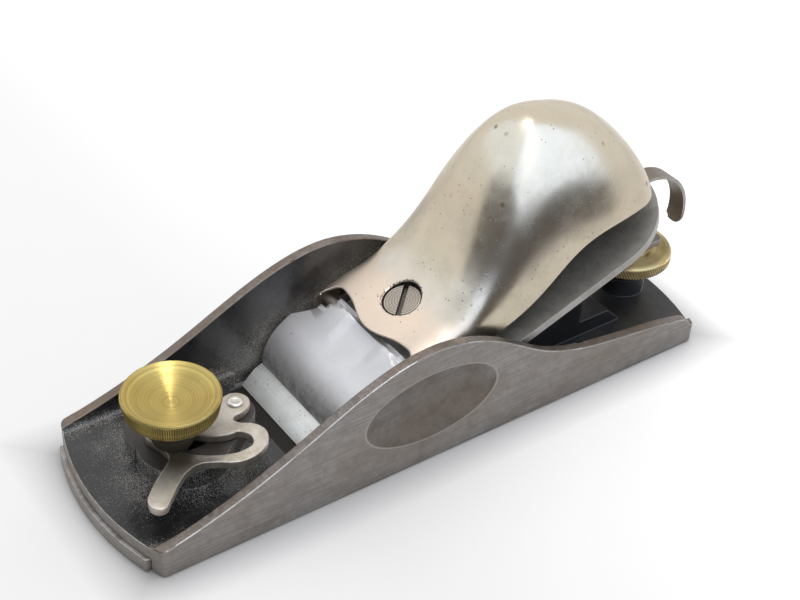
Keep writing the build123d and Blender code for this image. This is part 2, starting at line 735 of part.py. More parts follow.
with BuildPart() as adjusting_wheel:
    neck_z = WHEEL_TOP + HUB_FLANGE
    hub_z = neck_z + HUB_NECK_H + HUB_FLANGE
    bore = ADJ_SCREW_D / 2 + RUN
    with BuildSketch(Plane.XZ.shift_origin((WHEEL_X, 0, 0))):
        with BuildLine():
            Polyline(
                (bore, WHEEL_TOP - WHEEL_T),
                (WHEEL_D / 2 - 0.5, WHEEL_TOP - WHEEL_T),
                (WHEEL_D / 2, WHEEL_TOP - WHEEL_T + 0.5),
                (WHEEL_D / 2, WHEEL_TOP - 0.5),
                (WHEEL_D / 2 - 0.5, WHEEL_TOP),
                (HUB_D / 2, WHEEL_TOP),
                (HUB_D / 2, neck_z),
                (HUB_NECK_D / 2, neck_z),
                (HUB_NECK_D / 2, neck_z + HUB_NECK_H),
                (HUB_D / 2, neck_z + HUB_NECK_H),
                (HUB_D / 2, hub_z),
                (bore, hub_z),
                close=True,
            )
        make_face()
    revolve(axis=Axis((WHEEL_X, 0, 0), (0, 0, 1)))
adjusting_wheel.part.label = "adjusting_wheel"
export_step(adjusting_wheel.part, "parts/adjusting_wheel.step")

with BuildPart() as adjusting_lever:
    root_x = WHEEL_X + HUB_D / 2 + 2
    with BuildSketch(Plane.XZ):
        with Locations((ADJ_X, ADJ_Z)):
            Circle(CRANK_R)
        with Locations((root_x, FORK_Z)):
            Circle(FORK_T / 2)
        make_hull()
    extrude(amount=CRANK_W / 2, both=True)
    with BuildSketch(Plane.XZ):
        with Locations((ADJ_X, ADJ_Z)):
            Circle(CRANK_R)
        with Locations(bed_point(NIB_S, -LAT_T - CRANK_R)):
            Circle(CRANK_R / 2)
        make_hull()
    extrude(amount=CRANK_ARM_W / 2, both=True)
    with BuildSketch(bed_side):
        with Locations((NIB_S, NIB_H)):
            Rectangle(NIB_W, NIB_H + LAT_T + CRANK_R, align=(Align.CENTER, Align.MAX))
    extrude(amount=CRANK_ARM_W / 2, both=True)
    with BuildSketch(bed_plane.offset(IRON_T)):
        with Locations((NIB_S, 0)):
            Rectangle(4 * CRANK_R, LAT_W + 2 * LAT_SWING_ROOM)
    extrude(amount=-IRON_T - LAT_T - LAT_DROP - AIR, mode=Mode.SUBTRACT)
    with BuildSketch(Plane.XY.offset(FORK_Z - FORK_T / 2)):
        with Locations((root_x + 1, 0)):
            Rectangle(HUB_D + 3, FORK_W, align=(Align.MAX, Align.CENTER))
        fillet(vertices(), FORK_W / 6)
        with Locations((WHEEL_X, 0)):
            Circle(HUB_NECK_D / 2 + AIR, mode=Mode.SUBTRACT)
            Rectangle(HUB_D, HUB_NECK_D + 2 * AIR, mode=Mode.SUBTRACT, align=(Align.MAX, Align.CENTER))
    extrude(amount=FORK_T)
    with BuildSketch(Plane.XZ):
        with Locations((ADJ_X, ADJ_Z)):
            Circle(ADJ_PIN_D / 2 + RUN)
    extrude(amount=POST_W, both=True, mode=Mode.SUBTRACT)
adjusting_lever.part.label = "adjusting_lever"
export_step(adjusting_lever.part, "parts/adjusting_lever.step")

with BuildPart() as adjusting_lever_pin:
    with BuildSketch(Plane.XZ):
        with Locations((ADJ_X, ADJ_Z)):
            Circle(ADJ_PIN_D / 2)
    extrude(amount=POST_W / 2 - SLIDE, both=True)
adjusting_lever_pin.part.label = "adjusting_lever_pin"
export_step(adjusting_lever_pin.part, "parts/adjusting_lever_pin.step")

# lateral lever: eye, strip under the cutter, curl behind it; disc in the cutter's slot; rivet
with BuildPart() as lateral_lever:
    mid = -LAT_DROP - LAT_T / 2
    with BuildSketch(bed_side):
        with BuildLine():
            strip = Line((LAT_S, mid), (LAT_CURL_S, mid))
            JernArc(strip @ 1, strip % 1, LAT_CURL_R, -LAT_CURL_DEG)
        trace(line_width=LAT_T)
    extrude(amount=LAT_W / 2, both=True)
    tip_sides = lateral_lever.edges().filter_by(Axis.Y, reverse=True).group_by(Axis.Z)[0]
    fillet(tip_sides.filter_by(GeomType.LINE), 0.45 * LAT_W)
    with BuildSketch(bed_plane.offset(-LAT_DROP)):
        with Locations((LAT_S, 0)):
            Circle(LAT_EYE_R)
    extrude(amount=-LAT_T)
    with BuildSketch(bed_plane):
        with Locations((LAT_S, 0)):
            Circle(LAT_PIN_D / 2 + RUN)
    extrude(amount=-3 * LAT_T, mode=Mode.SUBTRACT)
lateral_lever.part.label = "lateral_lever"
export_step(lateral_lever.part, "parts/lateral_lever.step")

with BuildPart() as lateral_disc:
    with BuildSketch(bed_plane.offset(SEAT - LAT_DROP)):
        with Locations((DISC_S, 0)):
            Circle(DISC_D / 2)
    extrude(amount=DISC_T)
lateral_disc.part.label = "lateral_disc"
export_step(lateral_disc.part, "parts/lateral_disc.step")

with BuildPart() as lateral_rivet:
    with BuildSketch(bed_plane.offset(SEAT - LAT_DEEP)):
        with Locations((LAT_S, 0)):
            Circle(LAT_PIN_D / 2)
    extrude(amount=LAT_DEEP)
    with BuildSketch(bed_plane.offset(SEAT - LAT_DROP)):
        with Locations((LAT_S, 0)):
            Circle(LAT_HEAD_D / 2)
    extrude(amount=LAT_HEAD_T)
lateral_rivet.part.label = "lateral_rivet"
export_step(lateral_rivet.part, "parts/lateral_rivet.step")
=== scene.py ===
"""Block plane: visible pieces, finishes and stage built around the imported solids."""
import json
from contextlib import contextmanager
from math import acos, atan2, cos, hypot, pi, radians, sin, sqrt, tan

import bmesh
import bpy
import numpy as np
from mathutils import Matrix, Vector


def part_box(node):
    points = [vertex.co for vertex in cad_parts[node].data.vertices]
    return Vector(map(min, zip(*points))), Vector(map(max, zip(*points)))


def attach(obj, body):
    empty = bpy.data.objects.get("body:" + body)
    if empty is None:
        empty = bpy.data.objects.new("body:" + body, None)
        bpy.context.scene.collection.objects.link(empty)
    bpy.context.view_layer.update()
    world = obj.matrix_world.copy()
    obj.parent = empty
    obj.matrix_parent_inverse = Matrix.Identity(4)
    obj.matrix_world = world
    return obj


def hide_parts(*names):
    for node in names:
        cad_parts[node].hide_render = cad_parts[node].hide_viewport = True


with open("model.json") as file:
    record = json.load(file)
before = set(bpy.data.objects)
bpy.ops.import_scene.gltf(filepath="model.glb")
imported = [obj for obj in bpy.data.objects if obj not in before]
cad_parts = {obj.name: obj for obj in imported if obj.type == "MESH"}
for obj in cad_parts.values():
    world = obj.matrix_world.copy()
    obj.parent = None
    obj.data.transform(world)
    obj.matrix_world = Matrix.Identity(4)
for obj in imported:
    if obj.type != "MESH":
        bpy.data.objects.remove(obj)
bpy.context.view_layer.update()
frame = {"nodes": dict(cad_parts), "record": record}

bl_info = {
    "name": "Block Plane Builder",
    "version": (1, 0, 0),
    "blender": (4, 5, 0),
    "location": "View3D > Sidebar > Block Plane",
    "description": "Builds the visible pieces, finishes and stage of a low-angle block plane",
    "category": "Object",
}

MM = 0.001
BODIES = frame["record"]["behaviour"]["bodies"]
BODY_OF = {node: body for body, nodes in BODIES.items() for node in nodes}

# Places and sizes in mm, angles in radians: x towards the toe, y across, z up from the sole
BED = radians(20.0)
EDGE = Vector((30.7, 0.0, 0.0))
UP_BED = Vector((-cos(BED), 0.0, sin(BED)))
BED_NORMAL = Vector((sin(BED), 0.0, cos(BED)))
CHEEK_IN, CHEEK_OUT = 21.7, 24.25
HOLLOW_X, HOLLOW_Z = 7.3, 16.4
HOLLOW_HALF, HOLLOW_RISE = 18.3, 9.5
BOSS_TOP = 11.2
KNOB_X = 60.0
PIVOT = (42.6, -3.0)
PLATE_TRAVEL = 5.0
LEVER_SWING = radians(50.0)
PIN_X, PIN_Z = 8.4, 19.8
NOSE_R = 2.6
SCREW_ALONG, SCREW_FACE = 38.65, 13.7

# Colour that every rubbed edge of the casting shares: rubbed metal with a painted highlight, also used for
# the painted highlight line round the hollow
EDGE_SHINE = (0.42, 0.395, 0.365)


def bed_point(along, lift=0.0):
    """Point in mm at a distance up the bed and a height off it."""
    return EDGE + UP_BED * along + BED_NORMAL * lift


def bed_place(co):
    """Distance up the bed and height off it, in mm, of a point in metres."""
    spot = co / MM - EDGE
    return spot.dot(UP_BED), spot.dot(BED_NORMAL)


# The knuckle pin up the bed and off it, to a hundredth
PIN_ALONG, PIN_LIFT = (round(size, 2) for size in bed_place(Vector((PIN_X, 0.0, PIN_Z)) * MM))


def tint(colour, *shares):
    """Colour times one share, or times a share each for red, green and blue."""
    return tuple(min(1.0, c * share) for c, share in zip(colour, shares * 3))


class PlaneSizes(bpy.types.PropertyGroup):
    """Sizes that the solids leave to the looks."""
    edge_round: bpy.props.FloatProperty(
        name="Edge Round", description="Rounding of machined edges, in millimetres",
        default=0.28, min=0.02, max=1.0)
    fine_round: bpy.props.FloatProperty(
        name="Fine Round", description="Rounding of small steel parts, in millimetres",
        default=0.16, min=0.02, max=1.0)
    knob_ridges: bpy.props.IntProperty(
        name="Knob Ridges", description="Knurl ridges round the finger knob", default=132, min=12, max=400)
    wheel_ridges: bpy.props.IntProperty(
        name="Wheel Ridges", description="Knurl ridges round the adjusting wheel",
        default=104, min=12, max=400)
    wheel_slant: bpy.props.FloatProperty(
        name="Wheel Slant", description="Slant of the wheel's knurl", default=radians(28.0), subtype="ANGLE")
    cap_wall: bpy.props.FloatProperty(
        name="Cap Wall", description="Thickness of the domed cap, in millimetres",
        default=1.5, min=0.5, max=3.0)


class PlaneColours(bpy.types.PropertyGroup):
    """Base colours of the finishes."""
    iron: bpy.props.FloatVectorProperty(
        name="Ground Iron", description="Ground cheeks and sole", subtype="COLOR", default=(0.33, 0.31, 0.29))
    enamel: bpy.props.FloatVectorProperty(
        name="Black Enamel", description="Enamel inside the casting",
        subtype="COLOR", default=(0.010, 0.010, 0.012))
    nickel: bpy.props.FloatVectorProperty(
        name="Nickel", description="Plating of the domed cap", subtype="COLOR", default=(0.62, 0.55, 0.43))
    brass: bpy.props.FloatVectorProperty(
        name="Brass", description="Turned brass of the knob", subtype="COLOR", default=(0.55, 0.42, 0.14))
    old_brass: bpy.props.FloatVectorProperty(
        name="Aged Brass", description="Brass of the adjusting wheel",
        subtype="COLOR", default=(0.60, 0.49, 0.25))
    steel: bpy.props.FloatVectorProperty(
        name="Steel", description="Ground steel of the cutter", subtype="COLOR", default=(0.52, 0.505, 0.48))


class PlaneStage(bpy.types.PropertyGroup):
    """Floor, lamps and camera."""
    floor: bpy.props.FloatVectorProperty(
        name="Floor", description="Colour of the floor", subtype="COLOR", default=(0.74, 0.74, 0.75))
    overhead: bpy.props.FloatProperty(
        name="Overhead Lamp", description="Power of the overhead softbox", default=6.6, min=0.0, unit="POWER")
    key: bpy.props.FloatProperty(
        name="Key Lamp", description="Power of the small lamps that only glossy surfaces show",
        default=0.9, min=0.0, unit="POWER")
    sky: bpy.props.FloatProperty(
        name="Fill", description="Light of the surroundings on matte surfaces",
        default=0.42, min=0.0, max=1.0)
    focal: bpy.props.FloatProperty(
        name="Focal Length", description="Camera focal length in millimetres", default=69.576, min=10.0)


def settings(kind):
    """The scene's own copy of one group of values."""
    return getattr(bpy.context.scene, "block_plane_" + kind)


def fill(tree, socket, value):
    """Links an output to a socket, or sets the socket's plain value."""
    if isinstance(value, bpy.types.NodeSocket):
        tree.links.new(value, socket)
    elif socket.type == "RGBA":
        socket.default_value = (*value, 1.0)
    else:
        socket.default_value = value


def add_node(tree, kind, inputs=(), **attributes):
    """New node with its attributes set and the inputs given by index or name filled."""
    made = tree.nodes.new(kind)
    for name, value in attributes.items():
        setattr(made, name, value)
    for key, value in dict(inputs).items():
        fill(tree, made.inputs[key], value)
    return made


def calc(tree, operation, *values, clamp=False):
    """Output of a Math node."""
    inputs = dict(enumerate(values))
    return add_node(tree, "ShaderNodeMath", inputs, operation=operation, use_clamp=clamp).outputs[0]


class Finish:
    """A procedural material on one Principled shader, read in Object coordinates."""

    def __init__(self, name):
        self.material = bpy.data.materials.new(name)
        self.material.use_nodes = True
        self.tree = self.material.node_tree
        self.tree.nodes.clear()
        self.shader = self.tree.nodes.new("ShaderNodeBsdfPrincipled")
        self.output = self.tree.nodes.new("ShaderNodeOutputMaterial").inputs["Surface"]
        self.tree.links.new(self.shader.outputs[0], self.output)
        self.place = self.tree.nodes.new("ShaderNodeTexCoord").outputs["Object"]

    def shade(self, **values):
        """Sets or links the shader's sockets by name, with underscores for spaces, and gives the material."""
        for name, value in values.items():
            socket = name.replace("_", " ").title().replace("Ior", "IOR")
            fill(self.tree, self.shader.inputs[socket], value)
        return self.material

    def swap(self, shader):
        """Puts another shader in the Principled one's place."""
        self.tree.links.new(shader.outputs[0], self.output)
        self.tree.nodes.remove(self.shader)
        return self.material

    def node(self, kind, inputs=(), **attributes):
        return add_node(self.tree, kind, inputs, **attributes)

    def math(self, operation, *values, clamp=False):
        return calc(self.tree, operation, *values, clamp=clamp)

    def plus(self, a, b, clamp=False):
        return self.math("ADD", a, b, clamp=clamp)

    def minus(self, a, b):
        return self.math("SUBTRACT", a, b)

    def times(self, first, *more):
        """Product of all the values."""
        for value in more:
            first = self.math("MULTIPLY", first, value)
        return first

    def most(self, first, *more):
        """Largest of the values."""
        for value in more:
            first = self.math("MAXIMUM", first, value)
        return first

    def off(self, value, middle=0.0):
        """Distance of a value from a middle."""
        return self.math("ABSOLUTE", self.minus(value, middle))

    def reach(self, a, b):
        """Length of a line that goes a one way and b square to it."""
        return self.math("SQRT", self.plus(self.times(a, a), self.times(b, b)))

    def map(self, move=(0, 0, 0), turn=(0, 0, 0), scale=(1, 1, 1)):
        """Object coordinates moved, turned and stretched."""
        inputs = {"Vector": self.place, "Location": move, "Rotation": turn, "Scale": scale}
        return self.node("ShaderNodeMapping", inputs).outputs[0]

    def axes(self, source=None):
        """X, Y and Z of a vector."""
        return self.node("ShaderNodeSeparateXYZ", {0: source or self.place}).outputs

    def noise(self, scale, detail=3.0, rough=0.5, source=None):
        inputs = {"Vector": source or self.place, "Scale": scale, "Detail": detail, "Roughness": rough}
        return self.node("ShaderNodeTexNoise", inputs).outputs["Fac"]

    def spots(self, scale, near, far):
        """One at scattered points, fading to nothing between two distances from them."""
        made = self.node("ShaderNodeTexVoronoi", {"Vector": self.place, "Scale": scale})
        return self.ramp(made.outputs["Distance"], near, far, 1.0, 0.0)

    def ramp(self, value, low, high, start=0.0, end=1.0):
        """Value moved from low..high to start..end, held at both ends."""
        inputs = {"Value": value, "From Min": low, "From Max": high, "To Min": start, "To Max": end}
        return self.node("ShaderNodeMapRange", inputs, clamp=True).outputs[0]

    def span(self, value, low, high, start=0.0, end=1.0):
        """Ramp of a length, with low and high in millimetres."""
        return self.ramp(value, low * MM, high * MM, start, end)

    def mix(self, share, a, b):
        """Colour a turning to colour b by a share."""
        return self.node("ShaderNodeMix", {0: share, 6: a, 7: b}, data_type="RGBA").outputs[2]

    def stain(self, tone, colour, value, low, high, share=1.0):
        """Tone that turns to a colour, by up to a share, as a value climbs from low to high."""
        return self.mix(self.ramp(value, low, high, 0.0, share), tone, colour)

    def bump(self, height, strength, depth):
        """Surface relief from a height, depth in millimetres."""
        inputs = {"Height": height, "Strength": strength, "Distance": depth * MM}
        return self.node("ShaderNodeBump", inputs).outputs[0]


def ground_iron(name, colour, turn=radians(24.0), dark=0.72, warm=0.5, metal=0.8, rim=False, blot=0.3):
    """Ground cast iron: slanting scratches, brown patches, small pores, a painted highlight line round the
    hollow's edge.
    """
    f = Finish(name)
    lines = f.noise(1.0, 2.0, 0.6, f.map(turn=(0, turn, 0), scale=(45, 700, 3400)))
    cross = f.noise(1.0, 2.0, 0.6, f.map(turn=(0, -turn * 0.6, 0), scale=(60, 700, 2300)))
    cloud = f.noise(38.0, 4.0, 0.55)
    grain = f.noise(2600.0, 2.0, 0.5)
    mottle = f.noise(560.0, 4.0, 0.65)
    blotch = f.noise(165.0, 5.0, 0.64)
    pore = f.times(f.spots(900.0, 0.06, 0.16), f.ramp(cloud, 0.5, 0.62))
    lit = tint(colour, 1.28)
    brown = tint(colour, 0.92, 0.78, 0.64)
    tone = f.stain(tint(colour, dark), lit, lines, 0.34, 0.68)
    tone = f.stain(tone, lit, cross, 0.58, 0.74, 0.5)
    tone = f.stain(tone, brown, cloud, 0.42, 0.66, warm)
    tone = f.stain(tone, tint(colour, 0.7), mottle, 0.46, 0.66, 0.5)
    tone = f.stain(tone, tint(brown, 0.6), blotch, 0.45, 0.64, blot)
    tone = f.mix(pore, tone, tint(colour, 0.35))
    # Painted highlight: a bright line where the hollow's edge catches the light
    if rim:
        half, rise, width = HOLLOW_HALF, HOLLOW_RISE, 0.026
        centred = (-HOLLOW_X / half, 0, -HOLLOW_Z / rise)
        x, _, z = f.axes(f.map(move=centred, scale=(1 / (half * MM), 1, 1 / (rise * MM))))
        line = f.ramp(f.off(f.reach(x, z), 1.0), 0.0, width, 1.0, 0.0)
        tone = f.mix(f.times(line, f.ramp(cloud, 0.3, 0.55, 0.4, 1.0)), tone, EDGE_SHINE)
    rough = f.plus(f.ramp(lines, 0.3, 0.7, 0.34, 0.5), f.ramp(cloud, 0.4, 0.7, 0.0, 0.12))
    relief = f.bump(f.plus(lines, f.times(grain, 0.4)), 0.22, 0.03)
    return f.shade(base_color=tone, metallic=metal, roughness=rough, normal=relief)


def worn_steel(name, colour, metal=0.95, rough=0.36, scale=120.0, stain=0.45, grime_and_shade=0.0):
    """Handled steel: mottled tone, darker stains and fine grain, with grime and painted shade darkening it
    round the knob.
    """
    f = Finish(name)
    cloud = f.noise(scale, 5.0, 0.6)
    fine = f.noise(scale * 9.0, 3.0, 0.6)
    speck = f.times(f.spots(scale * 11.0, 0.05, 0.2), f.ramp(cloud, 0.5, 0.6))
    dim = tint(colour, 0.55, 0.484, 0.33)
    tone = f.stain(colour, dim, cloud, 0.44, 0.7, stain)
    tone = f.stain(tone, tint(colour, 0.62), fine, 0.45, 0.75, 0.35)
    tone = f.mix(speck, tone, tint(colour, 0.25))
    # Darker round the knob: grime with painted shade where the knob shadows the part
    if grime_and_shade:
        x, y, _ = f.axes()
        knob_shade_and_grime = f.span(f.reach(f.minus(x, KNOB_X * MM), y), 8.0, 17.5, grime_and_shade, 0.0)
        tone = f.mix(f.times(knob_shade_and_grime, f.ramp(cloud, 0.3, 0.6, 0.6, 1.0)), tone, tint(dim, 0.2))
    surface = f.plus(f.ramp(cloud, 0.35, 0.7, rough - 0.06, rough + 0.12), f.ramp(fine, 0.4, 0.8, 0.0, 0.1))
    return f.shade(base_color=tone, metallic=metal, roughness=surface, normal=f.bump(fine, 0.18, 0.04))


def black_enamel():
    """Baked black enamel with a worn gloss, pale dust beside the clamp, round the knob and in corners, and a
    painted sheen up the walls beside the clamp.
    """
    f = Finish("black_enamel")
    x, y, z = f.axes()
    cloud = f.noise(70.0, 4.0, 0.6)
    wave = f.noise(210.0, 2.0, 0.5)
    grit = f.noise(4800.0, 2.0, 0.6)
    side = f.off(y)
    lift = f.minus(f.times(z, cos(BED)), f.times(f.minus(EDGE.x * MM, x), sin(BED)))
    beside = f.times(f.span(f.off(x, 12.0 * MM), 14.0, 34.0, 1.0, 0.0), f.span(side, 19.5, 20.8))
    wall = f.times(beside, f.span(lift, 9.0, 16.0, 1.0, 0.0))
    # Painted sheen: a grey film up the walls beside the clamp stands for their reflection
    painted_wall_sheen = f.times(beside, f.span(lift, 12.0, 24.0, 0.9, 0.0))
    away = f.reach(f.minus(x, KNOB_X * MM), y)
    deck = f.times(f.span(away, 10.0, 26.0, 0.85, 0.15), f.span(z, 12.0, 15.0, 1.0, 0.0))
    corner = f.times(f.span(side, 14.0, 20.8, 0.0, 0.85), f.span(z, 6.0, 10.0, 1.0, 0.0))
    level = f.most(deck, corner)
    grains = f.plus(f.times(grit, 0.72), f.times(cloud, 0.28))
    cut = f.minus(0.67, f.times(f.most(wall, level), 0.2))
    dust = f.math("MULTIPLY", f.minus(grains, cut), 14.0, clamp=True)
    sheen_and_dust_film = f.most(painted_wall_sheen, f.times(level, 0.12))
    tone = f.stain(settings("colours").enamel, (0.026, 0.024, 0.023), cloud, 0.4, 0.7)
    # Grey film: painted sheen on the walls, and a thin dust film on the deck and in the corners
    tone = f.mix(f.times(sheen_and_dust_film, f.ramp(cloud, 0.3, 0.65, 0.35, 1.0)), tone, (0.185, 0.176, 0.166))
    tone = f.stain(tone, (0.055, 0.048, 0.042), f.noise(420.0, 4.0, 0.65), 0.63, 0.72, 0.55)
    tone = f.mix(f.times(dust, 0.85), tone, (0.56, 0.53, 0.47))
    rough = f.plus(f.ramp(cloud, 0.35, 0.7, 0.2, 0.4), f.times(dust, 0.5))
    rough = f.plus(rough, f.span(x, -12.0, -28.0, 0.0, 0.18), clamp=True)
    relief = f.bump(f.plus(wave, f.times(grit, 0.12)), 0.6, 0.3)
    return f.shade(base_color=tone, metallic=0.0, roughness=rough, normal=relief, specular_ior_level=0.6)


def nickel_plate():
    """Polished nickel, aged: warm cloudy tint, small dark pits, a copper cast where it is rubbed through, and
    a dark band low on each flank that is partly tarnish and partly painted dark reflection.
    """
    f = Finish("nickel_plate")
    x, y, z = f.axes()
    cloud = f.noise(42.0, 4.0, 0.55)
    haze = f.noise(190.0, 5.0, 0.6)
    pits = f.times(f.spots(620.0, 0.06, 0.15), f.ramp(f.noise(130.0, 2.0), 0.47, 0.6))
    blots = f.times(f.spots(210.0, 0.05, 0.17), f.ramp(f.noise(60.0, 2.0), 0.55, 0.64))
    pad = f.span(x, -9.0, 1.0)
    band = f.minus(z, f.math("MULTIPLY_ADD", x, -0.47, 33.5 * MM))
    # Dark band low on each flank: tarnish with a painted dark reflection
    flank = f.times(
        f.span(f.off(band), 2.0, 10.0, 1.0, 0.0), f.span(f.off(y), 8.0, 13.0),
        f.span(x, -52.0, -30.0), f.ramp(haze, 0.3, 0.6, 0.3, 0.6))
    tone = f.stain(settings("colours").nickel, (0.54, 0.48, 0.37), haze, 0.42, 0.7, 0.5)
    tone = f.mix(f.times(pad, 0.85), tone, (0.66, 0.53, 0.42))
    tone = f.stain(tone, (0.58, 0.47, 0.35), cloud, 0.52, 0.72, 0.5)
    tone = f.mix(flank, tone, (0.33, 0.29, 0.25))
    tone = f.mix(f.times(pits, 0.75), tone, (0.10, 0.085, 0.065))
    tone = f.mix(f.times(blots, 0.8), tone, (0.16, 0.12, 0.08))
    rough = f.plus(f.ramp(haze, 0.35, 0.75, 0.2, 0.32), f.times(pad, 0.24))
    rough = f.plus(rough, f.times(pits, 0.3), clamp=True)
    relief = f.bump(f.minus(f.times(haze, 0.12), f.plus(pits, blots)), 0.35, 0.05)
    return f.shade(base_color=tone, metallic=1.0, roughness=rough, normal=relief)


def turned_brass(name, colour, centre, rough=0.26, dull=0.25):
    """Turned brass with concentric tool marks about an upright axis."""
    f = Finish(name)
    x, y, z = f.axes(f.map(move=(-centre[0] * MM, -centre[1] * MM, 0)))
    track = f.node("ShaderNodeCombineXYZ", {0: f.reach(x, y), 1: z}).outputs[0]
    marks = f.noise(5200.0, 2.0, 0.7, track)
    bands = f.noise(900.0, 3.0, 0.6, track)
    cloud = f.noise(150.0, 4.0, 0.6)
    tone = f.stain(colour, tint(colour, 0.62, 0.58, 0.5), marks, 0.36, 0.62, 0.85)
    tone = f.stain(tone, tint(colour, 1.3), bands, 0.5, 0.66, 0.6)
    tone = f.stain(tone, tint(colour, 0.5, 0.42, 0.4), cloud, 0.5, 0.75, dull)
    surface = f.ramp(bands, 0.3, 0.7, rough, rough + 0.14)
    relief = f.bump(f.plus(marks, bands), 0.3, 0.03)
    round_axis = f.node("ShaderNodeTangent", direction_type="RADIAL", axis="Z").outputs[0]
    return f.shade(
        base_color=tone, metallic=1.0, roughness=surface, normal=relief,
        anisotropic=0.9, anisotropic_rotation=0.25, tangent=round_axis)


def cutter_steel():
    """Ground cutter: lines across the bevel, mottled flat behind it, dull brown-grey under the cap that is
    partly a duller finish and partly painted shade.
    """
    f = Finish("cutter_steel")
    base = settings("colours").steel
    x, _, z = f.axes()
    along = f.plus(f.times(f.minus(EDGE.x * MM, x), cos(BED)), f.times(z, sin(BED)))
    bevel = f.span(along, 7.4, 8.2, 1.0, 0.0)
    rear = f.span(along, 34.0, 46.0)
    lines = f.noise(1.0, 2.0, 0.6, f.map(turn=(0, BED, 0), scale=(3800, 35, 900)))
    cloud = f.noise(110.0, 5.0, 0.62)
    fine = f.noise(1500.0, 3.0, 0.6)
    spot = f.times(f.spots(700.0, 0.06, 0.2), f.ramp(cloud, 0.46, 0.56))
    dull = f.stain((0.285, 0.265, 0.225), (0.165, 0.15, 0.125), f.noise(320.0, 6.0, 0.72), 0.34, 0.7)
    keen = f.stain((0.84, 0.83, 0.77), (0.97, 0.96, 0.90), lines, 0.35, 0.7)
    keen = f.stain(keen, (0.40, 0.39, 0.34), cloud, 0.5, 0.72, 0.35)
    tone = f.stain(base, tint(base, 0.5), cloud, 0.4, 0.7, 0.7)
    tone = f.stain(tone, tint(base, 0.6), fine, 0.45, 0.75, 0.4)
    # Darker under the cap: a duller finish with painted shade
    tone = f.mix(f.times(rear, 0.85), tone, dull)
    tone = f.mix(bevel, tone, keen)
    tone = f.mix(f.times(spot, 0.7), tone, (0.09, 0.085, 0.08))
    rough = f.plus(f.ramp(cloud, 0.35, 0.7, 0.3, 0.46), f.times(bevel, 0.08))
    rough = f.plus(rough, f.times(rear, 0.16))
    metal = f.minus(0.8, f.times(f.most(bevel, rear), 0.4))
    relief = f.bump(f.plus(lines, fine), 0.18, 0.03)
    return f.shade(base_color=tone, metallic=metal, roughness=rough, normal=relief)


def clamp_steel():
    """Satin plated clamp, darker and mottled low on its front."""
    f = Finish("clamp_steel")
    cloud = f.noise(75.0, 5.0, 0.6)
    fine = f.noise(900.0, 4.0, 0.65)
    mottle = f.noise(330.0, 4.0, 0.6)
    scratch = f.noise(1.0, 2.0, 0.5, f.map(turn=(0, 0.35, 0.5), scale=(90, 2600, 900)))
    patch = f.plus(f.times(mottle, 0.6), f.times(fine, 0.4))
    low = f.times(f.span(f.axes()[2], 7.0, 13.5, 1.0, 0.0), f.ramp(patch, 0.36, 0.6))
    spot = f.times(f.spots(430.0, 0.04, 0.13), f.ramp(cloud, 0.5, 0.6))
    tone = f.stain((0.69, 0.665, 0.65), (0.55, 0.53, 0.515), cloud, 0.38, 0.7, 0.6)
    tone = f.stain(tone, (0.36, 0.345, 0.33), scratch, 0.66, 0.74, 0.35)
    tone = f.mix(low, tone, (0.31, 0.295, 0.28))
    tone = f.mix(f.times(spot, 0.8), tone, (0.12, 0.11, 0.10))
    rough = f.plus(f.ramp(cloud, 0.35, 0.7, 0.46, 0.56), f.times(low, 0.12))
    return f.shade(base_color=tone, metallic=0.5, roughness=rough, normal=f.bump(fine, 0.12, 0.03))


def screw_steel():
    """Turned screw head: rings about the screw's own axis, square to the bed, and painted shade in the slot
    and down the head's side.
    """
    f = Finish("screw_steel")
    face = Matrix.Rotation(-BED, 3, "Y") @ (bed_point(SCREW_ALONG, SCREW_FACE) * MM)
    x, y, z = f.axes(f.map(move=tuple(-face), turn=(0, -BED, 0)))
    rings = f.math("SINE", f.times(f.reach(x, y), 9200.0))
    cloud = f.noise(260.0, 4.0, 0.6)
    tone = f.stain((0.31, 0.265, 0.215), (0.46, 0.40, 0.335), rings, -0.3, 0.8)
    tone = f.stain(tone, (0.22, 0.19, 0.165), cloud, 0.42, 0.7, 0.6)
    # Painted shade in the slot and down the side of the head
    tone = f.mix(f.span(z, 0.35, 0.95, 0.85, 0.0), tone, (0.08, 0.07, 0.06))
    surface = f.ramp(cloud, 0.3, 0.7, 0.26, 0.40)
    return f.shade(base_color=tone, metallic=0.95, roughness=surface, normal=f.bump(rings, 0.2, 0.03))


def link(name, data, materials=()):
    """New object at the origin with its materials."""
    made = bpy.data.objects.new(name, data)
    bpy.context.scene.collection.objects.link(made)
    for material in materials:
        data.materials.append(material)
    return made


def mesh_from(form, name):
    """Plain mesh from an edit mesh, which is freed."""
    mesh = bpy.data.meshes.new(name)
    form.to_mesh(mesh)
    form.free()
    return mesh


@contextmanager
def reshaped(mesh):
    """Opens a plain mesh for editing and writes it back afterwards."""
    form = bmesh.new()
    form.from_mesh(mesh)
    yield form
    form.to_mesh(mesh)
    form.free()


def slice_at(form, point, normal, parts=None):
    """Cuts new edges where a plane meets the whole mesh, or only some parts of it."""
    parts = parts or [*form.verts, *form.edges, *form.faces]
    bmesh.ops.bisect_plane(form, geom=parts, dist=1e-7, plane_co=point, plane_no=normal)


def baked(piece):
    """Plain mesh of an object as its modifiers or its curve's settings make it."""
    graph = bpy.context.evaluated_depsgraph_get()
    return bpy.data.meshes.new_from_object(piece.evaluated_get(graph), depsgraph=graph)


def settle(piece):
    """Turns a piece's live modifiers into its plain mesh."""
    mesh = baked(piece)
    old = piece.data
    piece.modifiers.clear()
    piece.data = mesh
    bpy.data.meshes.remove(old)
    mesh.name = piece.name
    return piece


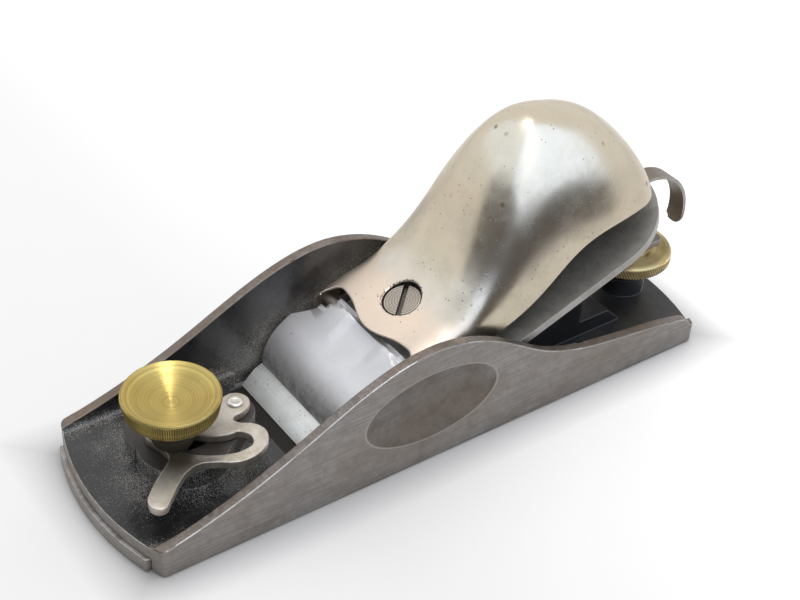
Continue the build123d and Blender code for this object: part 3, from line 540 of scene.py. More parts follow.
def round_edges(piece, width, angle=32.0, segments=2, spare=None):
    """Rounds sharp edges and keeps broad faces flat in shade.

    Spare picks the points whose edges stay as they are.
    """
    piece.data.shade_smooth()
    bevel = piece.modifiers.new("Round", "BEVEL")
    bevel.width = width * MM
    bevel.segments = segments
    bevel.limit_method = "WEIGHT" if spare else "ANGLE"
    bevel.angle_limit = radians(angle)
    bevel.use_clamp_overlap = False
    bevel.miter_outer = "MITER_ARC"
    if spare:
        with reshaped(piece.data) as form:
            weight = form.edges.layers.float.new("bevel_weight_edge")
            for edge in form.edges:
                sharp = len(edge.link_faces) == 2 and edge.calc_face_angle() > radians(angle)
                edge[weight] = 1.0 if sharp and not any(spare(v.co) for v in edge.verts) else 0.0
    even = piece.modifiers.new("Even", "WEIGHTED_NORMAL")
    even.keep_sharp = False
    even.weight = 60
    return settle(piece)


def solid_copy(node):
    """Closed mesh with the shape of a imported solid, its flat faces joined up."""
    form = bmesh.new()
    form.from_mesh(frame["nodes"][node].data)
    bmesh.ops.remove_doubles(form, verts=form.verts, dist=2e-6)
    bmesh.ops.dissolve_degenerate(form, edges=form.edges, dist=1e-6)
    bmesh.ops.dissolve_limit(form, angle_limit=radians(0.4), verts=form.verts, edges=form.edges)
    for face in form.faces:
        face.material_index = 0
    return mesh_from(form, node)


def seat(piece, node):
    """Rides on the node's body and stands for the node."""
    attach(piece, BODY_OF[node])
    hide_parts(node)


def dress(node, material, width):
    """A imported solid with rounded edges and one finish."""
    piece = link("plane_" + node, solid_copy(node), [material])
    seat(round_edges(piece, width), node)


def lathe(name, profile, centre, segments, material):
    """Solid of revolution about an upright axis from a closed outline of radius and height in mm."""
    form = bmesh.new()
    columns = []
    for step in range(segments):
        turn = 2 * pi * step / segments
        columns.append([
            form.verts.new((
                (centre[0] + r * cos(turn)) * MM,
                (centre[1] + r * sin(turn)) * MM,
                z * MM))
            for r, z in profile])
    count = len(profile)
    for step in range(segments):
        here, there = columns[step], columns[(step + 1) % segments]
        for i in range(count):
            form.faces.new((here[i], there[i], there[(i + 1) % count], here[(i + 1) % count]))
    bmesh.ops.remove_doubles(form, verts=form.verts, dist=1e-6)
    bmesh.ops.dissolve_degenerate(form, edges=form.edges, dist=1e-7)
    bmesh.ops.recalc_face_normals(form, faces=form.faces)
    return link(name, mesh_from(form, name), [material])


def plate(name, outlines, low, high, edge, materials):
    """Flat piece between two heights in mm with rounded edges.

    The first closed outline is solid, and the rest are openings in it.
    """
    curve = bpy.data.curves.new(name, "CURVE")
    curve.dimensions = "2D"
    curve.fill_mode = "BOTH"
    curve.resolution_u = 8
    curve.extrude = ((high - low) / 2 - edge) * MM
    curve.bevel_depth = edge * MM
    curve.bevel_resolution = 2
    curve.offset = -edge * MM
    for points in outlines:
        spline = curve.splines.new("BEZIER")
        spline.bezier_points.add(len(points) - 1)
        spline.use_cyclic_u = True
        for knot, (x, y) in zip(spline.bezier_points, points):
            knot.co = (x * MM, y * MM, 0.0)
            knot.handle_left_type = "AUTO"
            knot.handle_right_type = "AUTO"
    shape = link(name, curve)
    mesh = baked(shape)
    bpy.data.objects.remove(shape)
    bpy.data.curves.remove(curve)
    with reshaped(mesh) as form:
        bmesh.ops.remove_doubles(form, verts=form.verts, dist=2e-6)
        bmesh.ops.translate(form, verts=form.verts, vec=(0.0, 0.0, (low + high) / 2 * MM))
        bmesh.ops.recalc_face_normals(form, faces=form.faces)
    mesh.materials.clear()
    mesh.shade_smooth()
    mesh.set_sharp_from_angle(angle=radians(40.0))
    return link(name, mesh, materials)


def ridge_tree():
    """Node tree: straight ridges set round an upright axis, leaning with the rim and slanting across it."""
    tree = bpy.data.node_groups.new("Rim Ridges", "GeometryNodeTree")
    keys = {}
    for name, kind in (
            ("Count", "Int"), ("Radius", "Float"), ("Centre", "Vector"), ("Width", "Float"),
            ("Length", "Float"), ("Lean", "Float"), ("Slant", "Float"), ("Finish", "Material")):
        socket = tree.interface.new_socket(name, in_out="INPUT", socket_type="NodeSocket" + kind)
        keys[name] = socket.identifier
    tree.interface.new_socket("Geometry", in_out="OUTPUT", socket_type="NodeSocketGeometry")
    given = tree.nodes.new("NodeGroupInput").outputs
    ring = add_node(tree, "GeometryNodeMeshCircle", {"Vertices": given["Count"], "Radius": given["Radius"]})
    ridge = add_node(
        tree, "GeometryNodeMeshCylinder", {"Vertices": 4, "Radius": given["Width"], "Depth": given["Length"]})
    index = tree.nodes.new("GeometryNodeInputIndex").outputs[0]
    turn = calc(tree, "MULTIPLY", calc(tree, "DIVIDE", index, given["Count"]), 2 * pi)
    pose = add_node(tree, "ShaderNodeCombineXYZ", {0: given["Slant"], 1: given["Lean"], 2: turn})
    spread = add_node(tree, "GeometryNodeInstanceOnPoints", {
        "Points": ring.outputs["Mesh"], "Instance": ridge.outputs["Mesh"], "Rotation": pose.outputs[0]})
    move = add_node(
        tree, "GeometryNodeTransform", {"Geometry": spread.outputs[0], "Translation": given["Centre"]})
    real = add_node(tree, "GeometryNodeRealizeInstances", {0: move.outputs[0]})
    paint = add_node(
        tree, "GeometryNodeSetMaterial", {"Geometry": real.outputs[0], "Material": given["Finish"]})
    add_node(tree, "NodeGroupOutput", {0: paint.outputs[0]})
    return tree, keys


def ridges(name, node, **values):
    """Knurl round a rim as one plain mesh on the rim's body."""
    tree, keys = ridge_tree()
    piece = link(name, bpy.data.meshes.new(name))
    live = piece.modifiers.new("Ridges", "NODES")
    live.node_group = tree
    for key, value in values.items():
        live[keys[key]] = value
    settle(piece)
    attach(piece, BODY_OF[node])


def smooth_curve(points):
    """Natural cubic through points of different first values, as a function of that value."""
    knots = np.array(sorted(points), float)
    t, v = knots[:, 0], knots[:, 1]
    gap = np.diff(t)
    count = len(t)
    system = np.eye(count)
    right = np.zeros(count)
    for i in range(1, count - 1):
        system[i, i - 1:i + 2] = gap[i - 1], 2 * (gap[i - 1] + gap[i]), gap[i]
        right[i] = 6 * ((v[i + 1] - v[i]) / gap[i] - (v[i] - v[i - 1]) / gap[i - 1])
    bend = np.linalg.solve(system, right)

    def value(x):
        i = int(np.clip(np.searchsorted(t, x) - 1, 0, count - 2))
        a, b = (t[i + 1] - x) / gap[i], (x - t[i]) / gap[i]
        curl = (a**3 - a) * bend[i] + (b**3 - b) * bend[i + 1]
        return float(a * v[i] + b * v[i + 1] + curl * gap[i]**2 / 6)

    return value


class BLOCKPLANE_OT_casting(bpy.types.Operator):
    """Casting: ground cheeks and sole, bright worn edges with painted highlights, black enamel inside"""
    bl_idname = "block_plane.casting"
    bl_label = "Casting"

    def execute(self, context):
        iron = tuple(settings("colours").iron)
        enamel = black_enamel()
        boss = worn_steel("boss_iron", (0.060, 0.050, 0.043), metal=0.3, rough=0.45, scale=200.0, stain=0.7)
        finishes = [
            enamel,
            ground_iron("cheek_iron", iron, rim=True),
            ground_iron(
                "hollow_iron", tint(iron, 0.67), turn=radians(8.0), dark=0.86, warm=0.9, metal=0.65,
                rim=True, blot=0.6),
            ground_iron("crest_iron", (0.20, 0.170, 0.147), turn=radians(-12.0), warm=0.8),
            # Rubbed crest edges, painted brighter: wear with a painted highlight on the bevels
            worn_steel("worn_edge_and_highlight", EDGE_SHINE, rough=0.4, scale=240.0, stain=0.7),
            boss,
        ]
        piece = link("plane_body_casting", solid_copy("body_casting"), finishes)
        round_edges(piece, settings("sizes").edge_round, angle=24.0)
        for vert in piece.data.vertices:
            vert.co.z = max(vert.co.z, 0.0)
        for face in piece.data.polygons:
            face.material_index = self.finish_at(face)
        seat(piece, "body_casting")
        self.seat_pad(enamel, boss)
        return {"FINISHED"}

    @staticmethod
    def finish_at(face):
        """Number of the finish for a face, from where it lies and which way it looks."""
        enamel, cheek, hollow, crest, worn_edge_and_highlight, boss = range(6)
        x, y, z = (c / MM for c in face.center)
        n = face.normal
        side = abs(y)
        oval = ((x - HOLLOW_X) / HOLLOW_HALF) ** 2 + ((z - HOLLOW_Z) / HOLLOW_RISE) ** 2
        if side > CHEEK_OUT - 1.25 and abs(n.y) > 0.55:
            if 0.03 < n.z < 0.93 and side > CHEEK_OUT - 0.35 and oval > 1.1 and z > 4.0:
                return worn_edge_and_highlight
            return hollow if oval < 1.0 and side < CHEEK_OUT - 0.01 else cheek
        if side > CHEEK_IN and z > 4.5 and n.z > 0.12:
            return worn_edge_and_highlight if side > CHEEK_OUT - 0.2 and n.z < 0.9 and abs(n.y) > 0.25 else crest
        under = n.z < -0.4 and z < 1.0
        if under or abs(n.x) > 0.35 and (side > CHEEK_IN or abs(x) > 75.0):
            return cheek
        on_boss = x > 30.0 and side < 20.0 and abs(z - BOSS_TOP) < 0.1 and n.z > 0.9
        return boss if on_boss else enamel

    @staticmethod
    def seat_pad(side, top):
        """Far half of the lever's seat on the toe deck, beside the knob's boss."""
        middle, reach, start = KNOB_X - PLATE_TRAVEL / 2, 10.2, 6.0
        rim = [(middle + reach * cos(t), -start + reach * sin(t)) for t in np.linspace(0.0, -pi, 13)]
        for end, rise in ((-1, 1.2), (-1, 2.4), (1, 2.4), (1, 1.2)):
            rim.append((middle + end * reach, -start + rise))
        pad = plate("plane_lever_seat", [rim], 5.9, BOSS_TOP - 0.02, 0.3, [side, top])
        for face in pad.data.polygons:
            face.material_index = 1 if face.normal.z > 0.7 else 0
        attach(pad, BODY_OF["body_casting"])


class BLOCKPLANE_OT_throat(bpy.types.Operator):
    """Throat plate with its stud, the forked throat lever and the lever's rivet"""
    bl_idname = "block_plane.throat"
    bl_label = "Throat Plate and Lever"

    def execute(self, context):
        sizes = settings("sizes")
        sole = ground_iron("plate_iron", tint(settings("colours").iron, 1.1), turn=radians(3.0))
        # The lever is darkened round the knob by grime and painted shade
        steel = worn_steel(
            "lever_steel", (0.66, 0.60, 0.53), metal=0.5, rough=0.34, scale=170.0, stain=0.95, grime_and_shade=0.85)
        stud = worn_steel("stud_steel", (0.34, 0.31, 0.28), rough=0.42)
        dress("throat_plate", sole, sizes.edge_round)
        dress("knob_stud", stud, sizes.fine_round)
        low, high = (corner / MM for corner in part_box("throat_lever"))
        lever = plate("plane_throat_lever", [self.outline(), self.slot()], low.z, high.z, 0.3, [steel])
        seat(lever, "throat_lever")
        self.rivet()
        return {"FINISHED"}

    @staticmethod
    def outline():
        """Plan of the lever in mm: tail, fork round the slot, ear at the rivet, web under the knob."""
        tail = (
            (68.6, 9.1), (71.8, 11.9), (73.8, 14.4), (73.5, 17.2),
            (71.6, 18.0), (69.2, 16.2), (65.6, 13.0), (62.2, 10.8))
        fork = (
            (59.2, 10.2), (55.8, 11.6), (52.0, 13.9), (48.4, 14.4),
            (44.6, 13.2), (42.0, 10.6), (41.3, 7.6), (42.6, 4.9))
        ear = ((45.2, 2.9), (45.6, 1.4), (42.4, 0.5), (39.8, -1.2), (39.3, -4.0), (41.2, -6.2), (44.4, -6.2))
        web = (
            (49.0, -5.6), (54.0, -6.4), (59.0, -7.2), (63.2, -6.2), (65.0, -3.4),
            (64.2, -0.2), (63.6, 2.6), (63.8, 5.0), (65.4, 6.6))
        return tail + fork + ear + web

    @staticmethod
    def slot():
        """Plan of the curved slot that drives the stud as the lever swings."""
        inner, outer, width, steps = [], [], 3.15, 10
        for step in range(steps + 1):
            arm = Vector((KNOB_X - PIVOT[0] - PLATE_TRAVEL * step / steps, -PIVOT[1]))
            angle = atan2(arm.y, arm.x) + LEVER_SWING * step / steps
            for side, line in ((-width, inner), (width, outer)):
                reach = arm.length + side
                line.append((PIVOT[0] + reach * cos(angle), PIVOT[1] + reach * sin(angle)))
        ends = []
        for a, b, way in ((outer[-1], inner[-1], width), (inner[0], outer[0], -width)):
            middle = ((a[0] + b[0]) / 2, (a[1] + b[1]) / 2)
            along = (middle[0] - PIVOT[0], middle[1] - PIVOT[1])
            size = hypot(*along)
            ends.append((middle[0] - along[1] / size * way, middle[1] + along[0] / size * way))
        return outer + [ends[0]] + inner[::-1] + [ends[1]]

    @staticmethod
    def rivet():
        """Small rivet with a dimpled head."""
        low, high = (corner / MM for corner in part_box("throat_lever_rivet"))
        steel = worn_steel("rivet_steel", (0.72, 0.68, 0.62), metal=0.75, rough=0.34, scale=300.0)
        neck, head, top = 1.6, 1.85, high.z
        under = top - 0.58
        profile = [
            (0.0, low.z), (neck, low.z), (neck, under), (head, under), (head, top - 0.25),
            (1.5, top), (0.95, top), (0.7, top - 0.16), (0.0, top - 0.18)]
        piece = lathe("plane_throat_lever_rivet", profile, PIVOT, 48, steel)
        seat(round_edges(piece, 0.08, angle=24.0), "throat_lever_rivet")


class BLOCKPLANE_OT_knob(bpy.types.Operator):
    """Finger knob: turned brass with a dished top, a knurled rim painted darker as shade, and a waist painted
    near-black as shade
    """
    bl_idname = "block_plane.knob"
    bl_label = "Finger Knob"

    def execute(self, context):
        colour = settings("colours").brass
        low, high = (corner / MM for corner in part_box("finger_knob"))
        centre = ((low.x + high.x) / 2, (low.y + high.y) / 2)
        rim = (high.x - low.x) / 2
        top = high.z
        brass = turned_brass("knob_brass", tuple(colour), centre)
        piece = lathe("plane_finger_knob", self.profile(rim, low.z, top), centre, 160, brass)
        # The waist under the rim is painted near-black: painted shade under the knob
        piece.data.materials.append(worn_steel("knob_waist_painted_shade", (0.045, 0.033, 0.016), metal=0.2, rough=0.6))
        round_edges(piece, 0.18, angle=24.0)
        for face in piece.data.polygons:
            face.material_index = 1 if face.center.z < (top - 4.9) * MM else 0
        seat(piece, "finger_knob")
        length, taper = 3.8, 0.78
        # The knurl gets half-tone brass: painted shade on the knob's side
        ridges(
            "plane_knob_ridges", "finger_knob", Count=settings("sizes").knob_ridges, Radius=(rim - 0.47) * MM,
            Centre=(centre[0] * MM, centre[1] * MM, (top - 2.55) * MM), Width=0.2 * MM, Length=length * MM,
            Lean=atan2(taper, length), Slant=0.0,
            Finish=turned_brass("knurl_brass_painted_shade", tint(colour, 0.5), centre, rough=0.36, dull=0.7))
        return {"FINISHED"}

    @staticmethod
    def profile(rim, foot, top):
        """Closed outline of radius and height in mm: foot, waist, rim, dish and the bore for the stud."""
        foot_r, foot_h, rim_h, deep = 4.7, 1.6, 5.0, 2.7
        bore_r, bore_top, pinch, flare = 3.05, 21.4, 1.1, 4.3
        lip = rim - 0.32
        dish = (lip**2 + deep**2) / (2 * deep)
        points = [(bore_r, foot), (foot_r, foot), (foot_r, foot + foot_h)]
        for step in range(1, 11):
            t = step / 10
            waist = foot_r - pinch * sin(pi * t) + flare * t**2.4
            points.append((waist, foot + foot_h + (top - rim_h - foot - foot_h) * t))
        points += [
            (rim - 1.0, top - rim_h), (rim - 0.8, top - 4.4), (rim - 0.02, top - 0.6), (rim, top - 0.48),
            (lip + 0.14, top - 0.06), (lip - 0.1, top - 0.02)]
        for step in range(1, 15):
            r = (lip - 0.3) * (1 - step / 14)
            points.append((r, top - deep + dish - sqrt(dish**2 - r**2)))
        return points + [(0.0, bore_top), (bore_r, bore_top)]


class BLOCKPLANE_OT_cutter(bpy.types.Operator):
    """Cutter, bevel up"""
    bl_idname = "block_plane.cutter"
    bl_label = "Cutter"

    def execute(self, context):
        bare, flank, straight = 36.0, 19.5, 89.5
        mesh = solid_copy("cutter")
        with reshaped(mesh) as form:
            slice_at(form, bed_point(bare) * MM, UP_BED)
        side = worn_steel("cutter_side", (0.13, 0.12, 0.11), metal=0.5, rough=0.5)
        rim = worn_steel("cutter_rim", (0.45, 0.43, 0.41), metal=0.7, rough=0.36)
        piece = round_edges(link("plane_cutter", mesh, [cutter_steel(), side, rim]), 0.1)
        for face in piece.data.polygons:
            along = bed_place(face.center)[0]
            outer = abs(face.center.y) > flank * MM or along > straight
            if outer and abs(face.normal.dot(BED_NORMAL)) < 0.8:
                face.material_index = 2 if along > bare else int(abs(face.normal.y) > 0.8)
        seat(piece, "cutter")
        return {"FINISHED"}


class BLOCKPLANE_OT_clamp(bpy.types.Operator):
    """Clamp with its rounded shoe, and the pin that the cap turns on"""
    bl_idname = "block_plane.clamp"
    bl_label = "Clamp and Pin"

    def execute(self, context):
        rolled_from, rolled_to = 22.5, 31.0
        mesh = solid_copy("clamp")
        self.roll(mesh)
        piece = link("plane_clamp", mesh, [clamp_steel()])
        round_edges(piece, 0.2, spare=lambda co: rolled_from < bed_place(co)[0] < rolled_to)
        seat(piece, "clamp")
        steel = worn_steel("pin_steel", (0.30, 0.26, 0.21), metal=0.6, rough=0.45)
        dress("knuckle_pin", steel, settings("sizes").fine_round)
        return {"FINISHED"}

    @staticmethod
    def roll(mesh):
        """Carries the shoe's top on round the pin, so that it meets the two hollows of the cap's lip.

        From the first row the top climbs in a line, and after the meet it goes round the pin.
        """
        reach, slope, meet = 2.32, 0.267, -0.58
        bore, under = 1.6, -0.3
        near, far, half, droop = 4.0, 7.5, 16.2, 0.5
        rows = (-9.13, -7.2, -5.2, -3.7, -2.3, -1.4, meet, -0.1, 0.3, 0.7, 1.1, 1.5, 1.8, 2.1, 2.3)
        with reshaped(mesh) as form:
            for along in rows:
                slice_at(form, bed_point(PIN_ALONG + along) * MM, UP_BED)
            for y in (near, 5.2, 6.3, far, 11.0, 13.0):
                for side in (-1, 1):
                    slice_at(form, Vector((0.0, side * y * MM, 0.0)), Vector((0.0, 1.0, 0.0)))
            for v in form.verts:
                along, lift = bed_place(v.co)
                along, lift = along - PIN_ALONG, lift - PIN_LIFT
                if not rows[0] < along < reach or lift < under or hypot(along, lift) < bore:
                    continue
                y = abs((v.co / MM).y)
                top = slope * (along - rows[0]) if along < meet else sqrt(reach**2 - along**2)
                top -= droop * (y / half) ** 6
                share = min(max((y - near) / (far - near), 0.0), 1.0)
                v.co += BED_NORMAL * max(top - lift, 0.0) * share**2 * (3.0 - 2.0 * share) * MM


class BLOCKPLANE_OT_cap(bpy.types.Operator):
    """Domed cap: a drawn nickel-plated shell with an S-shaped hem, a double-curved lip and a screw hole"""
    bl_idname = "block_plane.cap"
    bl_label = "Domed Cap"

    def execute(self, context):
        corner_x, corner_y, ear_x = 7.5, 16.6, 4.5
        inside = worn_steel("cap_inside", (0.085, 0.075, 0.062), metal=0.5, rough=0.55)
        ear = worn_steel("cap_ear", (0.34, 0.285, 0.22), metal=0.4, rough=0.5, scale=260.0, stain=0.8)
        piece = link("plane_cap_hood", self.shell(), [nickel_plate(), inside, ear])
        wall = piece.modifiers.new("Wall", "SOLIDIFY")
        wall.thickness = settings("sizes").cap_wall * MM
        wall.offset = -1.0
        wall.use_even_offset = True
        wall.thickness_clamp = 1.0
        wall.material_offset = 1
        settle(piece)
        self.drill(piece)
        round_edges(piece, 0.3, 48.0, 3, lambda co: co.x > corner_x * MM and abs(co.y) > corner_y * MM)
        for face in piece.data.polygons:
            if face.material_index == 1 and face.center.x > ear_x * MM:
                face.material_index = 2
        seat(piece, "cap_hood")
        return {"FINISHED"}

    @staticmethod
    def shell():
        """Outer face of the cap: arches from the lip to the rear, each from hem to hem over the crown."""
        # Along the plane: place, height of the crown, share of the full width, fullness of the arch
        stations = (
            (13.0, 22.2, 1.0, 8.5), (4.0, 26.0, 1.0, 8.5), (-4.0, 29.8, 1.0, 6.0), (-12.0, 40.6, 1.0, 3.2),
            (-20.0, 56.3, 0.99, 2.45), (-29.0, 67.18, 0.99, 2.15), (-40.0, 67.78, 0.98, 2.08),
            (-50.0, 64.1, 0.95, 2.05), (-58.0, 57.8, 0.88, 2.05), (-64.0, 50.6, 0.74, 2.05),
            (-67.5, 45.2, 0.5, 2.05))
        crown, share, power = (smooth_curve([(s[0], s[k]) for s in stations]) for k in (1, 2, 3))
        hem = smooth_curve((
            (PIN_X, PIN_Z - NOSE_R), (-6.0, 20.6), (-17.0, 24.6), (-26.0, 29.5), (-36.5, 37.5),
            (-48.0, 41.2), (-60.0, 42.0), (-72.0, 44.5)))
        edge = ((0.0, 9.8), (4.0, 9.2), (8.5, 7.7), (12.3, 7.1), (15.4, 8.0), (17.3, 10.6), (19.9, 14.0))
        lip = smooth_curve([(-y, x) for y, x in edge[1:]] + list(edge))
        half, cutter_thick, room = 18.9, 2.2, 1.0
        steps = np.linspace(0.0, 1.0, 64)

        def hem_height(x):
            """The hem's curve as far as the pin, and then round the pin."""
            if x <= PIN_X:
                return hem(x)
            if x < PIN_X + NOSE_R:
                return PIN_Z - sqrt(max(NOSE_R**2 - (x - PIN_X) ** 2, 0.0))
            return PIN_Z + x - (PIN_X + NOSE_R)

        def surface(x, v):
            """Point of the arch at x, a share v of the way along it from crown to hem."""
            foot = (EDGE.x - x) * tan(BED) + cutter_thick / cos(BED) + room
            rise = crown(x) - foot
            reach = min(max((hem_height(x) - foot) / rise, 0.0), 0.999)
            a = acos(reach ** (power(x) / 2)) * steps ** (power(x) / 2)
            across = np.sin(a) ** (2 / power(x)) * share(x) * half
            up = foot + rise * np.cos(a) ** (2 / power(x))
            run = np.concatenate(([0.0], np.cumsum(np.hypot(np.diff(across), np.diff(up)))))
            y = float(np.interp(abs(v) * run[-1], run, across))
            return Vector((x, y if v > 0 else -y, float(np.interp(abs(v) * run[-1], run, up))))

        rows, columns, rear = 120, 97, stations[-1][0]
        form = bmesh.new()
        grid = []
        for j in range(columns):
            v = 2 * j / (columns - 1) - 1
            # Where this line of the grid meets the lip, found in a few rounds
            start = 9.0
            for _ in range(8):
                start = 0.5 * start + 0.5 * lip(surface(start, v).y)
            places = [start + (rear - start) * i / (rows - 1) for i in range(rows)]
            grid.append([form.verts.new(surface(x, v) * MM) for x in places])
        for here, there in zip(grid, grid[1:]):
            for i in range(rows - 1):
                form.faces.new((here[i], there[i], there[i + 1], here[i + 1]))
        bmesh.ops.recalc_face_normals(form, faces=form.faces)
        if sum(f.normal.z for f in form.faces) < 0:
            bmesh.ops.reverse_faces(form, faces=form.faces)
        return mesh_from(form, "plane_cap_hood")

    @staticmethod
    def drill(piece):
        """Cuts the hole that the cap screw's head stands in."""
        radius, depth, lift = 4.9 * MM, 12 * MM, 16.0
        form = bmesh.new()
        aim = Matrix.Translation(bed_point(SCREW_ALONG, lift) * MM) @ Matrix.Rotation(BED, 4, "Y")
        bmesh.ops.create_cone(
            form, cap_ends=True, segments=96, radius1=radius, radius2=radius, depth=depth, matrix=aim)
        tool = link("cap_drill", mesh_from(form, "cap_drill"))
        hole = piece.modifiers.new("Screw Hole", "BOOLEAN")
        hole.operation = "DIFFERENCE"
        hole.solver = "EXACT"
        hole.object = tool
        settle(piece)
        bpy.data.objects.remove(tool)


class BLOCKPLANE_OT_screw(bpy.types.Operator):
    """Slotted cap screw, its head raised and a little wider"""
    bl_idname = "block_plane.screw"
    bl_label = "Cap Screw"

    def execute(self, context):
        head, slot, raised, wider = 11.0, 12.0, 1.15, 0.05
        mesh = solid_copy("cap_screw")
        for v in mesh.vertices:
            lift = bed_place(v.co)[1]
            if lift > head:
                out = v.co - bed_point(SCREW_ALONG, lift) * MM
                v.co += out * wider + BED_NORMAL * (raised * MM if lift > slot else 0.0)
        piece = link("plane_cap_screw", mesh, [screw_steel()])
        seat(round_edges(piece, settings("sizes").fine_round), "cap_screw")
        return {"FINISHED"}


class BLOCKPLANE_OT_depth(bpy.types.Operator):
    """Depth adjuster: screw, knurled wheel, rocking lever and its pin"""
    bl_idname = "block_plane.depth"
    bl_label = "Depth Adjuster"

    def execute(self, context):
        sizes = settings("sizes")
        low, high = (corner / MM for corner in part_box("adjusting_wheel"))
        centre = ((low.x + high.x) / 2, (low.y + high.y) / 2)
        rim = (high.x - low.x) / 2
        brass = turned_brass("wheel_brass", tuple(settings("colours").old_brass), centre, rough=0.3, dull=0.7)
        dark = worn_steel("adjuster_steel", (0.26, 0.24, 0.22), rough=0.45)
        dress("adjusting_wheel", brass, 0.22)
        ridges(
            "plane_wheel_ridges", "adjusting_wheel", Count=sizes.wheel_ridges, Radius=(rim - 0.1) * MM,
            Centre=(centre[0] * MM, centre[1] * MM, (low.z + 1.7) * MM), Width=0.26 * MM, Length=2.7 * MM,
            Lean=0.0, Slant=sizes.wheel_slant, Finish=brass)
        dress("adjusting_screw", dark, sizes.fine_round)
        dress("adjusting_lever", dark, sizes.edge_round)
        dress("adjusting_lever_pin", dark, sizes.fine_round)
        return {"FINISHED"}


class BLOCKPLANE_OT_lateral(bpy.types.Operator):
    """Lateral lever with its disc, and the rivet that it turns on"""
    bl_idname = "block_plane.lateral"
    bl_label = "Lateral Lever"

    def execute(self, context):
        width = settings("sizes").fine_round
        brown = worn_steel("browned_steel", (0.23, 0.195, 0.165), rough=0.4, scale=140.0, stain=0.6)
        bright = worn_steel("lateral_edge", (0.44, 0.41, 0.37), rough=0.36, scale=200.0)
        mesh = solid_copy("lateral_lever")
        self.tongue(mesh)
        lever = link("plane_lateral_lever", mesh, [brown, bright])
        for face in round_edges(lever, width).data.polygons:
            face.material_index = 1 if abs(face.normal.y) > 0.6 else 0
        seat(lever, "lateral_lever")
        dress("lateral_disc", brown, width)
        dress("lateral_rivet", brown, width)
        return {"FINISHED"}

    @staticmethod
    def tongue(mesh):
        """Rounds the end of the hook, seen flat on."""
        hook_run = 9.0
        with reshaped(mesh) as form:
            rear = min(v.co.x for v in form.verts)
            hook = sorted((v for v in form.verts if v.co.x < rear + hook_run * MM), key=lambda v: v.co.z)
            tip = sum((v.co for v in hook[:4]), Vector()) / 4
            back = (sum((v.co for v in hook[4:8]), Vector()) / 4 - tip).normalized()
            half = max(v.co.y for v in hook[:4])
            for share in (0.05, 0.15, 0.3, 0.5, 0.85):
                near = [f for f in form.faces if (f.calc_center_median() - tip).length < 3 * half]
                edges = {e for f in near for e in f.edges}
                points = {v for f in near for v in f.verts}
                slice_at(form, tip + back * half * share, back, [*near, *edges, *points])
            for vert in form.verts:
                share = (vert.co - tip).dot(back) / half
                if share < 1.0 and (vert.co - tip).length < 2 * half:
                    vert.co.y *= sqrt(1.0 - (1.0 - max(share, 0.03)) ** 2)
            bmesh.ops.recalc_face_normals(form, faces=form.faces)


